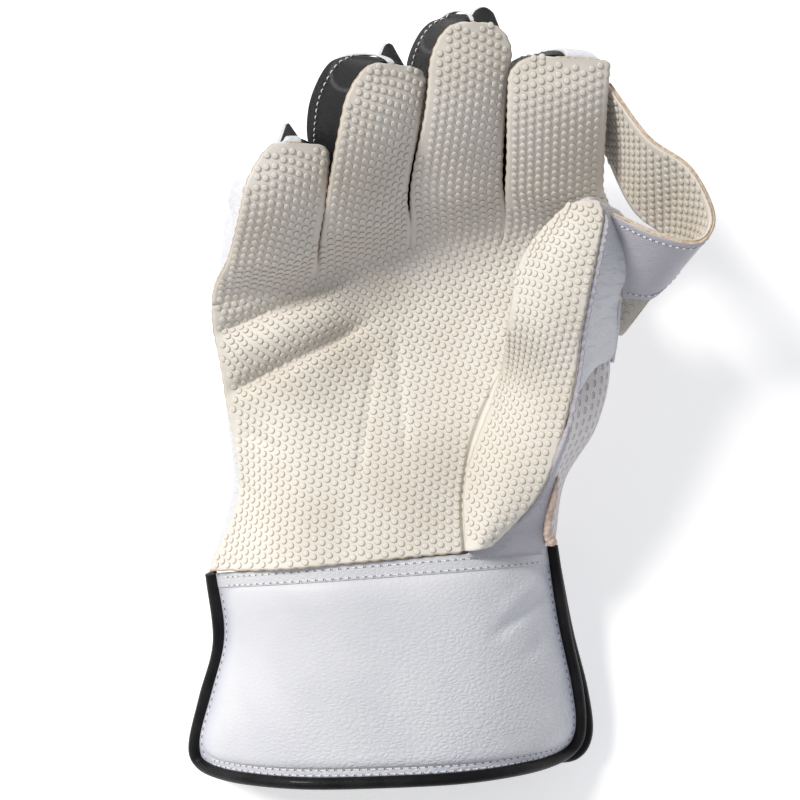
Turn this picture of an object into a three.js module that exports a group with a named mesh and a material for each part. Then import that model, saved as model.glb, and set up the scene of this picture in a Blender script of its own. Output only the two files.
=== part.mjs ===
// Wicketkeeping glove for the right hand, lying on its back with the palm up and the fingers cupped.
// Millimetres, +Z up, +X to the thumb side, +Y to the fingertips.

import * as THREE from 'three';
import { mergeVertices } from 'three/addons/utils/BufferGeometryUtils.js';

// Place of the glove in its own frame: plan middle of the tables below
const PLAN_MIDDLE = { x: 15.15, y: -2.42 };

// Wall thicknesses and gaps
const FACING = 3.0;
const SIDE_WALL = 1.2;
const BACK_PAD = 3.2;
const LEATHER = 2.0;
const CUFF_PAD = 4.5;
const GAP = 0.35;
const WALL_INSET = 1.0;
const WALL_SHORT = 1.6;
const KNUCKLE_GAP = 2.0;

// Palm sheet: a row for each station from wrist to crotches
// columns: little finger edge, little-ring line, ring-middle line, middle-index line, thumb crease
const PALM_ROWS = [
  [[-73.3, -65.2, 36], [-44.8, -63.1, 57], [-20.5, -60.6, 61], [1.9, -58.4, 61], [23.1, -56.7, 58]],
  [[-62.3, -34.6, 34], [-41.4, -33.8, 51], [-18.8, -33.8, 54], [3.7, -31.8, 54], [23.3, -29.3, 50]],
  [[-67.0, 1.9, 37], [-41.0, 3.0, 44], [-13.3, 7.6, 41], [13.3, 10.7, 41], [35.4, 5.7, 45]],
  [[-71.2, 35.6, 46], [-33.0, 41.8, 44], [3.1, 54.2, 40], [38.2, 57.3, 40], [76.5, 62.8, 42]],
];

// Finger faces: rows at lower joint, upper joint and tip
// columns: left edge x, y, z, right edge x, y, z
// flare widens the left and right wall to the back, lean is the share of the back's lean kept at the tip
const FINGERS = {
  little: {
    rows: [
      [-63.2, 53.0, 66, -32.2, 55.7, 61],
      [-57.3, 70.2, 84, -28.4, 73.7, 76],
      [-53.0, 93.0, 92, -26.5, 92.0, 85],
    ],
    depth: 27, tipRound: 13, tipBlunt: 0.5, flare: [0, 1], lean: 0.2, nose: 2.0, column: 0,
  },
  ring: {
    rows: [
      [-27.6, 64.0, 67, 1.4, 75.0, 61],
      [-21.9, 91.0, 91, 5.8, 98.7, 82],
      [-15.5, 121.0, 101, 9.5, 120.0, 90],
    ],
    depth: 28, tipRound: 13, tipBlunt: 0.5, flare: [5, 0], lean: 0.45, nose: 1.6, column: 1,
  },
  middle: {
    rows: [
      [5.2, 80.0, 65, 36.6, 82.4, 62],
      [10.4, 106.0, 90, 37.2, 108.3, 84],
      [12.0, 134.0, 101, 40.0, 134.0, 95],
    ],
    depth: 29, tipRound: 17, tipBlunt: 0.38, flare: [3, 0], lean: 0.5, nose: 1.6, column: 2,
  },
  index: {
    rows: [
      [40.2, 81.5, 63, 75.2, 80.0, 60],
      [39.6, 103.7, 86, 74.2, 101.9, 83],
      [39.8, 124.0, 95, 73.2, 123.0, 93],
    ],
    depth: 29, tipRound: 12, tipBlunt: 0.6, flare: [2, 1], lean: 0.35, nose: 1.6, column: 3,
  },
};
const CROWN = 2.6;
const TIP_FLATTENING = 0.7;
const TIP_POWER = 2.4;
const TIP_CROWDING = 1.6;
const ROOT_DROP = 4.0;
const ROLL_SHARE = 0.8;
const STRIP_SHARE = 0.35;
const BELLY = 1.6;
const CORNER_GAP = 0.3;

// Thumb: rows at wrist, mound, root, lower joint, upper joint and tip; columns as on the fingers
const THUMB = {
  rows: [
    [24.4, -56.4, 58, 34.4, -54.9, 58],
    [24.6, -28.9, 51, 52.0, -31.3, 68],
    [36.9, 6.2, 49, 60.4, 1.8, 79],
    [39.5, 28.5, 74, 64.3, 27.9, 92],
    [43.5, 50.1, 80, 68.7, 53.2, 98],
    [54.0, 69.0, 88, 72.5, 72.5, 97],
  ],
  depth: 28, tipRound: 20, tipBlunt: 0.35, flare: [1, 4], lean: 1, nose: 0.5, leatherFrom: 0.47,
};

// Palm creases: ends of each valley in plan, depth and half width; the pleat stands between them
const CREASES = [
  { from: [-70, 25.5], to: [-14, 48.5], depth: 3.2, spread: 2.6 },
  { from: [-66, 2.5], to: [-9, 31.0], depth: 3.6, spread: 2.8 },
];
const PLEAT = { from: [-68, 14.5], to: [-14, 39.0], height: 3.4, spread: 7.0 };

// Back of the hand: a row for each station from wrist to knuckles
// columns: little edge, little side, floor left, floor right, thumb side, thumb edge
const BACK_ROWS = [
  [[-72.5, -64.6, 32], [-72.5, -63, 16], [-54, -62, 0], [34, -58, 0], [59.5, -55, 19], [54.5, -54.5, 42]],
  [[-61.6, -34.6, 30], [-65.0, -34, 15], [-50, -34, 0], [34, -32, 0], [62.5, -31, 26], [57.0, -30.5, 60]],
  [[-64.0, -8.0, 31], [-67.0, -8, 15], [-51, -8, 0], [40, -8, 0], [75.0, -9, 32], [64.5, -8.0, 70]],
  [[-66.6, 16.0, 35], [-69.0, 16, 16], [-51, 18, 0], [46, 22, 0], [81.0, 19, 26], [66.0, 22.0, 40]],
  [[-70.4, 34.6, 42], [-72.0, 38, 26], [-58, 41, 16], [62, 66, 10], [78.0, 64, 24], [76.0, 62.0, 38]],
];

// Catch web: upper rim and lower rim from the index finger round to the thumb
// columns: upper x, y, z, lower x, y, z
const WEB_ROWS = [
  [88.5, 94.3, 91, 86.4, 72.6, 60],
  [103.2, 82.5, 95, 99.5, 60.5, 62],
  [111.1, 65.6, 97, 103.5, 50.5, 64],
  [106.0, 56.3, 98, 97.0, 41.5, 66],
  [92.0, 58.6, 98, 91.5, 37.5, 68],
];
const WEB_LAYER = 1.6;
// Each seam: share along the digit and turn from its face to its back, and mm from its side
const WEB_SEAMS = {
  index: { upper: [0.86, 0.15], lower: [0.5, 0.75], apart: 2.0 },
  thumb: { upper: [0.95, 0.4], lower: [0.66, 0.8], apart: 3.9 },
};
const WEB_CORNER = { from: 0.8, to: 0.93, drop: 0.2, point: [83.5, 24.5, 57], pointWidth: 1.6 };

// Cuff front panel: a row for each station from the wrist seam to the mouth
// columns: left x, y, z, middle z, middle y, right x, y, z
const CUFF_ROWS = [
  [-72.0, -66.6, 33, 61.5, -59.4, 57.5, -56.0, 33],
  [-69.0, -90.0, 27, 59.5, -86.0, 62.0, -84.0, 27],
  [-74.0, -112.0, 23, 57.5, -110.0, 67.5, -109.0, 23],
  [-79.5, -132.0, 20, 55.5, -129.5, 70.0, -127.0, 20],
  [-77.0, -143.5, 19, 54.5, -142.5, 65.0, -138.5, 19],
];
const CUFF_ARCH = 3.0;
const BINDING_RADIUS = 2.4;
const BAND = { share: 0.06, thickness: 1.4 };
const CUFF_MARGIN = 0.032;
const CUFF_TOP = 0.015;
const CUFF_BOTTOM = 0.955;
const CUFF_BACK = { wider: [0.3, 4.0], longer: 1.5, below: 8.95, floorShare: 0.55, thickness: 3.0 };
const BINDING_OUT = 1.1;

// Smooth leather between the rubber's edge and the back of the hand at the wrist
const GUSSET = { from: 0.01, to: 0.36, backTo: 0.5, bulge: 1.2, apart: 1.5 };

// Soft strip folded over the back's edge, above the right end of the cuff
const WRIST_ROLL = { stations: [0.02, 0.09, 0.16, 0.23], out: 3.0, below: 1.0, radius: 2.2 };

// Mesh steps
const TURN_STEPS = 4;
const ACROSS_STEPS = 5;
const STRIP_STEPS = 5;
const FOURCHETTE_STEPS = 9;

const white = { color: 0xe9e7e6, roughness: 0.55, metalness: 0 };
const cream = { color: 0xdbd0c1, roughness: 0.75, metalness: 0 };
const black = { color: 0x1b1a1b, roughness: 0.5, metalness: 0 };
const blush = { color: 0xd9c3b8, roughness: 0.7, metalness: 0 };

const group = new THREE.Group();
group.position.set(-PLAN_MIDDLE.x, -PLAN_MIDDLE.y, 0);

const vec = (p) => new THREE.Vector3(p[0], p[1], p[2]);
const mix = (a, b, k) => a.clone().lerp(b, k);
const clamp01 = (k) => Math.min(Math.max(k, 0), 1);
const smooth = (k) => clamp01(k) * clamp01(k) * (3 - 2 * clamp01(k));

function line(points) {
  return new THREE.CatmullRomCurve3(points, false, 'catmullrom', 0.5);
}

// A patch is a grid of points; rows run along i, columns along j, and i cross j points outwards
function patch(ni, nj, pointAt) {
  const rows = [];
  for (let i = 0; i <= ni; i++) {
    const row = [];
    for (let j = 0; j <= nj; j++) row.push(pointAt(i / ni, j / nj));
    rows.push(row);
  }
  return rows;
}

// Sews patches that share edges, and gives the sheet a thickness on its inner side
function thicken(patches, thickness) {
  const points = [];
  const found = new Map();
  const indexOf = (p) => {
    const key = [p.x, p.y, p.z].map((n) => Math.round(n * 200)).join(' ');
    if (!found.has(key)) {
      found.set(key, points.length);
      points.push(p);
    }
    return found.get(key);
  };
  const triangles = [];
  const addTriangle = (a, b, c) => {
    if (a !== b && b !== c && a !== c) triangles.push([a, b, c]);
  };
  for (const rows of patches) {
    for (let i = 0; i + 1 < rows.length; i++) {
      for (let j = 0; j + 1 < rows[i].length; j++) {
        const a = indexOf(rows[i][j]);
        const b = indexOf(rows[i + 1][j]);
        const c = indexOf(rows[i + 1][j + 1]);
        const d = indexOf(rows[i][j + 1]);
        addTriangle(a, b, c);
        addTriangle(a, c, d);
      }
    }
  }
  const normals = points.map(() => new THREE.Vector3());
  const edges = new Set();
  for (const [a, b, c] of triangles) {
    const n = points[b].clone().sub(points[a]).cross(points[c].clone().sub(points[a]));
    for (const k of [a, b, c]) normals[k].add(n);
    for (const [p, q] of [[a, b], [b, c], [c, a]]) edges.add(p + ' ' + q);
  }
  const inner = points.map((p, k) => p.clone().addScaledVector(normals[k].normalize(), -thickness));
  const count = points.length;
  const all = [];
  for (const [a, b, c] of triangles) {
    all.push(a, b, c, a + count, c + count, b + count);
    for (const [p, q] of [[a, b], [b, c], [c, a]]) {
      if (!edges.has(q + ' ' + p)) all.push(q, p, p + count, q, p + count, q + count);
    }
  }
  const geometry = new THREE.BufferGeometry();
  const flat = [...points, ...inner].flatMap((p) => [p.x, p.y, p.z]);
  geometry.setAttribute('position', new THREE.Float32BufferAttribute(flat, 3));
  geometry.setIndex(all);
  return geometry;
}

function addPiece(name, geometry, finish) {
  const mesh = new THREE.Mesh(geometry, new THREE.MeshStandardMaterial(finish));
  mesh.name = name;
  group.add(mesh);
}

// Height of the creases and the pleat at a point of the palm
function relief(x, y) {
  const ridge = ({ from, to }, spread) => {
    const dx = to[0] - from[0];
    const dy = to[1] - from[1];
    const length = Math.hypot(dx, dy);
    const along = ((x - from[0]) * dx + (y - from[1]) * dy) / (length * length);
    const across = ((x - from[0]) * dy - (y - from[1]) * dx) / length;
    const fade = smooth((along + 0.05) / 0.2) * smooth((1.02 - along) / 0.3);
    return fade * Math.exp(-((across / spread) ** 2));
  };
  let z = PLEAT.height * ridge(PLEAT, PLEAT.spread);
  for (const crease of CREASES) z -= crease.depth * ridge(crease, crease.spread);
  return z;
}

// Edge lines of the palm columns and of the fingers
const fingerNames = Object.keys(FINGERS);
const crotches = PALM_ROWS[3].map(vec);
function edgeNext(column) {
  const sides = [];
  if (column > 0) sides.push(vec(FINGERS[fingerNames[column - 1]].rows[0].slice(3)));
  if (column < 4) sides.push(vec(FINGERS[fingerNames[column]].rows[0].slice(0, 3)));
  return sides.reduce((a, b) => a.add(b), new THREE.Vector3()).divideScalar(sides.length);
}
const palmLines = crotches.map((_, k) => line([...PALM_ROWS.map((row) => vec(row[k])), edgeNext(k)]));
const acrossPalm = (share, points) => line(points).getPoint(share);

function palmPoint(across, along) {
  const points = palmLines.map((edge) => edge.getPoint(0.75 * along));
  const p = acrossPalm(across, points);
  p.z += relief(p.x, p.y);
  return p;
}

// A digit is a bent box: spine frame from its two edge lines
function makeDigit(rows, before, table) {
  const left = line([...before.map((pair) => pair[0]), ...rows.map((r) => vec(r.slice(0, 3)))]);
  const right = line([...before.map((pair) => pair[1]), ...rows.map((r) => vec(r.slice(3)))]);
  const first = before.length > 0 ? 1 : 0;
  const spans = before.length + rows.length - 1;
  const curveShare = (t) => (first + t * (spans - first)) / spans;
  const level = new THREE.Vector3(1, 0, 0);
  const frame = (t) => {
    const k = curveShare(t);
    const l = left.getPoint(k);
    const r = right.getPoint(k);
    const next = Math.min(k + 0.01, 1);
    const last = Math.max(k - 0.01, 0);
    const tangent = mix(left.getPoint(next), right.getPoint(next), 0.5);
    tangent.sub(mix(left.getPoint(last), right.getPoint(last), 0.5)).normalize();
    const side = r.clone().sub(l);
    const half = side.length() / 2;
    side.normalize();
    const up = side.clone().cross(tangent).normalize();
    const plumb = new THREE.Vector3(0, 0, 1).addScaledVector(side, -side.z).normalize();
    const depthUp = mix(plumb, up, table.lean).normalize();
    const isFinger = table.column !== undefined;
    const unrolled = level.clone().cross(tangent).normalize();
    if (isFinger) depthUp.lerp(unrolled, 1 - smooth(t / ROLL_SHARE)).normalize();
    const ahead = depthUp.clone().cross(side).normalize();
    return { middle: mix(l, r, 0.5), tangent, ahead, side, up, depthUp, half };
  };
  let length = 0;
  for (let k = 0; k < 40; k++) {
    length += frame(k / 40).middle.distanceTo(frame((k + 1) / 40).middle);
  }
  const roundShare = table.tipRound / length;
  const width = (t) => {
    const into = clamp01((t - (1 - roundShare)) / roundShare);
    return table.tipBlunt + (1 - table.tipBlunt) * Math.sqrt(Math.max(1 - into ** TIP_POWER, 0));
  };
  return { frame, width, table };
}

// A point of a digit: share along, then mm across, forward and below the face
function digitPoint(digit, t, across, forward, depth) {
  const f = digit.frame(t);
  const p = f.middle.clone().addScaledVector(f.side, across);
  return p.addScaledVector(f.tangent, forward).addScaledVector(f.depthUp, -depth);
}

const digits = {};
fingerNames.forEach((name, k) => {
  const table = FINGERS[name];
  const before = [[vec(PALM_ROWS[2][k]), vec(PALM_ROWS[2][k + 1])], [crotches[k], crotches[k + 1]]];
  digits[name] = makeDigit(table.rows, before, table);
});
digits.thumb = makeDigit(THUMB.rows, [], THUMB);

// Crowned face of a digit
function facePoint(digit, across, t) {
  const side = 2 * across - 1;
  const f = digit.frame(t);
  const p = digitPoint(digit, t, side * f.half * digit.width(t), 0, 0);
  const flattening = 1 - TIP_FLATTENING * smooth((t - 0.8) / 0.2);
  return p.addScaledVector(f.up, CROWN * (1 - side * side) * flattening);
}

// Face of a finger, blended into the palm at its root
function fingerFacePoint(name, across, t) {
  const column = FINGERS[name].column;
  const own = facePoint(digits[name], across, t);
  if (t > 0.3) return own;
  const palm = acrossPalm((column + across) / 4, crotches);
  palm.z += relief(palm.x, palm.y);
  const base = facePoint(digits[name], across, 0);
  return own.add(palm.sub(base).multiplyScalar(1 - smooth(t / 0.3)));
}

// Steps along a digit crowd towards its tip
const tipward = (k) => 1 - (1 - k) ** TIP_CROWDING;

// Half section of a digit's shell; side is -1 or 1, angle 0 under the face and PI at the back
function shellPoint(digit, t, side, angle, pad) {
  const f = digit.frame(t);
  const drop = (1 - Math.cos(angle)) / 2;
  const flare = digit.table.flare[side < 0 ? 0 : 1] * smooth((t - 0.35) / 0.5);
  const half = f.half * digit.width(t) - WALL_INSET + flare * drop;
  const reach = 1 / f.depthUp.dot(f.up);
  const top = reach * (FACING + GAP) + ROOT_DROP * (1 - smooth(t / 0.25));
  const bottom = reach * (digit.table.depth + (pad > 0 ? pad : -WALL_SHORT));
  return digitPoint(digit, t, side * half, GAP, top + (bottom - top) * drop);
}

// Back and rounded end of a digit, share -1 to 1 across
function endPoint(digit, t, share, angle, pad) {
  const left = shellPoint(digit, t, -1, angle, pad);
  const right = shellPoint(digit, t, 1, angle, pad);
  const drop = (1 - Math.cos(angle)) / 2;
  const f = digit.frame(t);
  const bulge = Math.sin(angle) * (digit.table.nose * (1 - Math.abs(share) ** 3) + pad * (1 - share ** 8));
  const p = mix(left, right, (share + 1) / 2).addScaledVector(f.ahead, bulge);
  return p.addScaledVector(f.depthUp, -BELLY * drop * drop * (1 - share * share));
}
const stripShare = (angle) => STRIP_SHARE + (1 - STRIP_SHARE) * smooth((angle - 1.3) / 1.8);

// Back of a digit with its rounded end, and the side walls that are cut in one with it
function digitBack(digit, steps, start, leftWall, rightWall) {
  const along = (k) => start + (1 - start) * tipward(k);
  const sections = [];
  const turns = [...Array(TURN_STEPS + 1).keys()].map((k) => (Math.PI * k) / TURN_STEPS);
  if (leftWall) turns.slice(0, -1).forEach((angle) => sections.push([-1, angle]));
  for (let k = 0; k <= ACROSS_STEPS; k++) sections.push([(2 * k) / ACROSS_STEPS - 1, Math.PI]);
  if (rightWall) turns.slice(0, -1).reverse().forEach((angle) => sections.push([1, angle]));
  const count = sections.length - 1;
  const body = patch(steps, count, (k, j) => {
    const [share, angle] = sections[Math.round(j * count)];
    return endPoint(digit, along(k), share, angle, BACK_PAD);
  });
  const low = (angle) => (leftWall ? -1 : -stripShare(angle));
  const high = (angle) => (rightWall ? 1 : stripShare(angle));
  const nose = patch(TURN_STEPS, ACROSS_STEPS, (k, j) => {
    const angle = Math.PI * (1 - k);
    return endPoint(digit, 1, low(angle) + (high(angle) - low(angle)) * j, angle, BACK_PAD);
  });
  return thicken([body, nose], BACK_PAD);
}

// Fourchette: the facing walls of two neighbours, joined in the crotch, with the tip corners
function fourchette(leftDigit, rightDigit) {
  const wall = (digit, side) => patch(FOURCHETTE_STEPS, TURN_STEPS, (k, j) => {
    const angle = Math.PI * (side < 0 ? j : 1 - j);
    return shellPoint(digit, tipward(k), side, angle, 0);
  });
  const corner = (digit, side) => patch(TURN_STEPS, 3, (k, j) => {
    const angle = Math.PI * (1 - k);
    const start = Math.min(stripShare(angle) + CORNER_GAP, 1);
    const share = side > 0 ? start + (1 - start) * j : -1 + (1 - start) * j;
    return endPoint(digit, 1, share, angle, 0);
  });
  const crotch = patch(2, TURN_STEPS, (k, j) => {
    const angle = Math.PI * j;
    const from = shellPoint(leftDigit, 0, 1, angle, 0);
    return mix(from, shellPoint(rightDigit, 0, -1, angle, 0), k);
  });
  const leftSide = [wall(leftDigit, 1), corner(leftDigit, 1)];
  const rightSide = [wall(rightDigit, -1), corner(rightDigit, -1)];
  return thicken([...leftSide, crotch, ...rightSide], SIDE_WALL);
}

function makePalmFacing() {
  const palm = patch(4 * STRIP_STEPS, 22, palmPoint);
  const faces = fingerNames.map((name) =>
    patch(STRIP_STEPS, 11, (across, k) => fingerFacePoint(name, across, tipward(k))));
  return thicken([palm, ...faces], FACING);
}

function makeThumbFacing() {
  return thicken([patch(6, 18, (across, k) => facePoint(digits.thumb, across, k ** 0.8))], FACING);
}

// Sheet lofted through rows of points
function loftPoint(rows, k, j) {
  const lines = rows.map((row) => line(row).getPoint(j));
  return line(lines).getPoint(k);
}

// Edge of the hand's back on the thumb side
const backEdge = line(BACK_ROWS.map((row) => vec(row[5])));

// Back of the hand: lofted up to a row that runs just short of the finger backs
function makeHandBack() {
  const rows = BACK_ROWS.slice(0, 4).map((row) => {
    const [edge, side, left, right, thumbSide, thumbEdge] = row.map(vec);
    const floor = [0, 1, 2, 3, 4].map((n) => mix(left, right, n / 4));
    return [edge, side, ...floor, thumbSide, thumbEdge];
  });
  const knuckle = [];
  const push = (name, share, angle) => {
    const digit = digits[name];
    const p = endPoint(digit, 0, share, angle, BACK_PAD);
    knuckle.push(p.addScaledVector(digit.frame(0).tangent, -KNUCKLE_GAP));
  };
  push('little', -1, 0);
  push('little', -1, Math.PI / 2);
  for (const name of fingerNames) push(name, -1, Math.PI);
  push('index', 1, Math.PI);
  push('index', 1, Math.PI / 2);
  push('index', 1, 0);
  rows.push(knuckle);
  const surface = patch(12, 18, (k, j) => {
    const p = loftPoint(rows, k, j);
    p.z = Math.max(p.z, 0);
    return p;
  });
  return thicken([surface], BACK_PAD);
}

// Moves a grid of points out along its own normals
function offset(rows, distance) {
  const last = { i: rows.length - 1, j: rows[0].length - 1 };
  return rows.map((row, i) => row.map((p, j) => {
    const along = rows[Math.min(i + 1, last.i)][j].clone().sub(rows[Math.max(i - 1, 0)][j]);
    const across = row[Math.min(j + 1, last.j)].clone().sub(row[Math.max(j - 1, 0)]);
    return p.clone().addScaledVector(along.cross(across).normalize(), distance);
  }));
}

// Upper and lower rim of the catch web, sewn to the index finger and to the thumb
function webRims() {
  const seam = (name, edge) => {
    const [t, turn] = WEB_SEAMS[name][edge];
    const p = shellPoint(digits[name], t, 1, Math.PI * turn, BACK_PAD);
    return p.addScaledVector(digits[name].frame(t).side, WEB_SEAMS[name].apart);
  };
  const rim = (edge, from) => {
    const between = WEB_ROWS.map((r) => vec(r.slice(from, from + 3)));
    return line([seam('index', edge), ...between, seam('thumb', edge)]);
  };
  return { upper: rim('upper', 0), lower: rim('lower', 3) };
}

// One layer of the catch web; layer 0 is inside, 1 outside
function makeWeb(layer) {
  const { upper, lower } = webRims();
  const middle = patch(18, 3, (k, j) => mix(upper.getPoint(k), lower.getPoint(k), j));
  return thicken([offset(middle, layer * (WEB_LAYER + 2 * GAP))], WEB_LAYER);
}

// Small rubber corner that hangs from the web's lower edge beside the thumb
function makeWebCorner() {
  const { upper, lower } = webRims();
  const top = (j) => {
    const k = WEB_CORNER.to + (WEB_CORNER.from - WEB_CORNER.to) * j;
    const hem = lower.getPoint(k);
    return hem.addScaledVector(upper.getPoint(k).sub(hem).normalize(), -WEB_CORNER.drop);
  };
  const bottom = (j) => vec(WEB_CORNER.point).add(new THREE.Vector3(WEB_CORNER.pointWidth * j, 0, 0));
  return thicken([patch(4, 3, (k, j) => mix(top(j), bottom(j), k))], WEB_LAYER);
}

// Edge lines and middle line of the cuff's front panel
function cuffEdges() {
  const left = line(CUFF_ROWS.map((r) => vec(r.slice(0, 3))));
  const right = line(CUFF_ROWS.map((r) => vec(r.slice(5))));
  const middle = line(CUFF_ROWS.map((r) => new THREE.Vector3((r[0] + r[5]) / 2, r[4], r[3])));
  return { left, right, middle };
}

// A point of the front panel, arched between its edges
function cuffPoint(across, along, margin) {
  const { left, right, middle } = cuffEdges();
  const l = left.getPoint(along);
  const r = right.getPoint(along);
  const m = middle.getPoint(along);
  const side = (2 * across - 1) * (1 - margin);
  const edge = mix(l, r, (side + 1) / 2);
  const arch = 1 - Math.abs(side) ** CUFF_ARCH;
  const p = edge.clone();
  p.z = edge.z + (m.z - edge.z) * arch;
  p.y = edge.y + (m.y - mix(l, r, 0.5).y) * arch;
  return p;
}

function makeWristRoll() {
  const shift = new THREE.Vector3(WRIST_ROLL.out, 0, -WRIST_ROLL.below);
  return roll(WRIST_ROLL.stations.map((k) => backEdge.getPoint(k).add(shift)), WRIST_ROLL.radius, 3, 8);
}

function makeGusset() {
  const surface = (k, j) => {
    const t = GUSSET.from + (GUSSET.to - GUSSET.from) * k;
    const f = digits.thumb.frame(t);
    const inner = facePoint(digits.thumb, 1, t);
    inner.addScaledVector(f.side, GUSSET.apart).addScaledVector(f.up, -GUSSET.apart);
    const outer = backEdge.getPoint(GUSSET.backTo * k).addScaledVector(f.up, GUSSET.apart);
    const p = mix(inner, outer, j);
    p.z += GUSSET.bulge * 4 * j * (1 - j);
    return p;
  };
  return thicken([patch(8, 4, surface).reverse()], LEATHER);
}

// Cuff front panel and the band sewn along its top edge
const cuffSurface = (steps, from, to) =>
  patch(steps, 16, (along, across) => cuffPoint(across, from + (to - from) * along, CUFF_MARGIN));

function makeCuffFront() {
  return thicken([cuffSurface(10, CUFF_TOP, CUFF_BOTTOM)], CUFF_PAD);
}

function makeCuffBand() {
  const rows = cuffSurface(2, CUFF_TOP, CUFF_TOP + BAND.share);
  return thicken([offset(rows, BAND.thickness + GAP)], BAND.thickness);
}

// Edge of the front panel from the top left round the mouth to the top right
function cuffEdge() {
  const points = [];
  const add = (across, along, x, y) => {
    const p = cuffPoint(across, along, 0);
    points.push(p.add(new THREE.Vector3(x * BINDING_OUT, y * BINDING_OUT, -CUFF_PAD / 2)));
  };
  for (const along of [0.04, 0.3, 0.55, 0.8]) add(0, along, -1, 0);
  add(0, 0.96, -0.9, -0.5);
  for (const across of [0.05, 0.15, 0.3, 0.5, 0.7, 0.85, 0.95]) add(across, 1, 0, -1);
  add(1, 0.96, 0.9, -0.5);
  for (const along of [0.8, 0.55, 0.3, 0.04]) add(1, along, 1, 0);
  return points;
}

// Round cord swept through points
function roll(points, radius, sides, steps) {
  const section = new THREE.Shape();
  section.absarc(0, 0, radius, 0, 2 * Math.PI);
  const path = new THREE.CatmullRomCurve3(points, false, 'centripetal');
  const geometry = new THREE.ExtrudeGeometry(section, { steps, curveSegments: sides, extrudePath: path });
  geometry.deleteAttribute('normal');
  geometry.deleteAttribute('uv');
  return mergeVertices(geometry, 1e-4);
}

// Back panel of the cuff: it lies on the floor and turns up to the front panel's edges
function cuffBackPoint(across, along) {
  const { left, right } = cuffEdges();
  const side = 2 * across - 1;
  const p = mix(left.getPoint(along), right.getPoint(along), across);
  p.x += (side < 0 ? CUFF_BACK.wider[0] : CUFF_BACK.wider[1] * along) * side * Math.abs(side);
  p.y -= CUFF_BACK.longer * along;
  const rise = smooth((Math.abs(side) - CUFF_BACK.floorShare) / (1 - CUFF_BACK.floorShare));
  p.z = (p.z - CUFF_BACK.below) * rise;
  return p;
}

function makeCuffBack() {
  const surface = (along, across) =>
    cuffBackPoint(CUFF_MARGIN + (1 - 2 * CUFF_MARGIN) * across, CUFF_TOP + (CUFF_BOTTOM - CUFF_TOP) * along);
  return thicken([patch(7, 16, surface).reverse()], CUFF_BACK.thickness);
}

// Edge of the back panel, the same way round
function cuffBackEdge() {
  const points = [];
  const add = (across, along, x, y) => {
    const p = cuffBackPoint(across, along);
    p.x += x * BINDING_OUT;
    p.y += y * BINDING_OUT;
    p.z = Math.max(p.z + CUFF_BACK.thickness / 2, BINDING_RADIUS + 0.2);
    points.push(p);
  };
  for (const along of [0.04, 0.3, 0.55, 0.8]) add(0, along, -1, 0);
  add(0.005, 0.97, -0.7, -0.7);
  for (const across of [0.06, 0.15, 0.3, 0.5, 0.7, 0.85, 0.94]) add(across, 1, 0, -1);
  add(0.995, 0.97, 0.7, -0.7);
  for (const along of [0.8, 0.55, 0.3, 0.04]) add(1, along, 1, 0);
  return points;
}

addPiece('palm_facing', makePalmFacing(), cream);
addPiece('thumb_facing', makeThumbFacing(), cream);
addPiece('little_back', digitBack(digits.little, 11, 0, true, false), white);
addPiece('ring_back', digitBack(digits.ring, 11, 0, false, false), white);
addPiece('middle_back', digitBack(digits.middle, 11, 0, false, false), white);
addPiece('index_back', digitBack(digits.index, 11, 0, false, true), white);
addPiece('little_ring_fourchette', fourchette(digits.little, digits.ring), black);
addPiece('ring_middle_fourchette', fourchette(digits.ring, digits.middle), black);
addPiece('middle_index_fourchette', fourchette(digits.middle, digits.index), black);
addPiece('thumb_back', digitBack(digits.thumb, 9, THUMB.leatherFrom, true, true), white);
addPiece('hand_back', makeHandBack(), white);
addPiece('web_facing', makeWeb(0), cream);
addPiece('web_backing', makeWeb(1), white);
addPiece('cuff_front', makeCuffFront(), white);
addPiece('cuff_top_band', makeCuffBand(), white);
addPiece('cuff_front_binding', roll(cuffEdge(), BINDING_RADIUS, 4, 34), black);
addPiece('cuff_back', makeCuffBack(), white);
addPiece('cuff_back_binding', roll(cuffBackEdge(), BINDING_RADIUS, 4, 34), black);
addPiece('wrist_gusset', makeGusset(), white);
addPiece('wrist_roll', makeWristRoll(), blush);
addPiece('web_lower', makeWebCorner(), cream);

export default group;
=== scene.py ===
"""Looks of a wicketkeeping glove for the right hand, lying on its back with the palm up.

Rubber facings with moulded pimples, white leather backs, black leather side walls, a catch web and a bound,
padded cuff. Shapes are worked out in millimetres from named tables, most of them the same as the solids',
on a plan whose middle is moved to the frame's origin, and are set in the frame in metres.
"""
import math
import bmesh
import bpy
import numpy as np
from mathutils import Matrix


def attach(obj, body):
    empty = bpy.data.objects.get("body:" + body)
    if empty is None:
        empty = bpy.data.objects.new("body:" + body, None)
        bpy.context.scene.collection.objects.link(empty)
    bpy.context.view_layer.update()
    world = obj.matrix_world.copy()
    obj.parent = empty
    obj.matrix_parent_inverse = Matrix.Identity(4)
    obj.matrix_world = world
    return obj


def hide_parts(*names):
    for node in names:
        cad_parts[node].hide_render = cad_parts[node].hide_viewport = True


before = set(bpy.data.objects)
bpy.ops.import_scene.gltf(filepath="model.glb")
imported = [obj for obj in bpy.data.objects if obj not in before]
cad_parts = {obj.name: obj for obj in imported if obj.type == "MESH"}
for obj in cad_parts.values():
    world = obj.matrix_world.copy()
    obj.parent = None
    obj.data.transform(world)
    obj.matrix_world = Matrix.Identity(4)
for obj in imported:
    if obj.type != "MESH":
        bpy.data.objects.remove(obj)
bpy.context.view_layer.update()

MM = 0.001
PLAN_MIDDLE = np.array([15.15, -2.42, 0.0])
UP = np.array([0.0, 0.0, 1.0])
PI = math.pi

# Camera: straight above the plan's own origin
CAMERA_HEIGHT = 850.0
LENS = 95.5

# Wall thicknesses, and the gap left between pieces
FACING = 3.0
SIDE_WALL = 1.2
BACK_PAD = 3.2
CUFF_PAD = 4.5
GAP = 0.35

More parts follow.
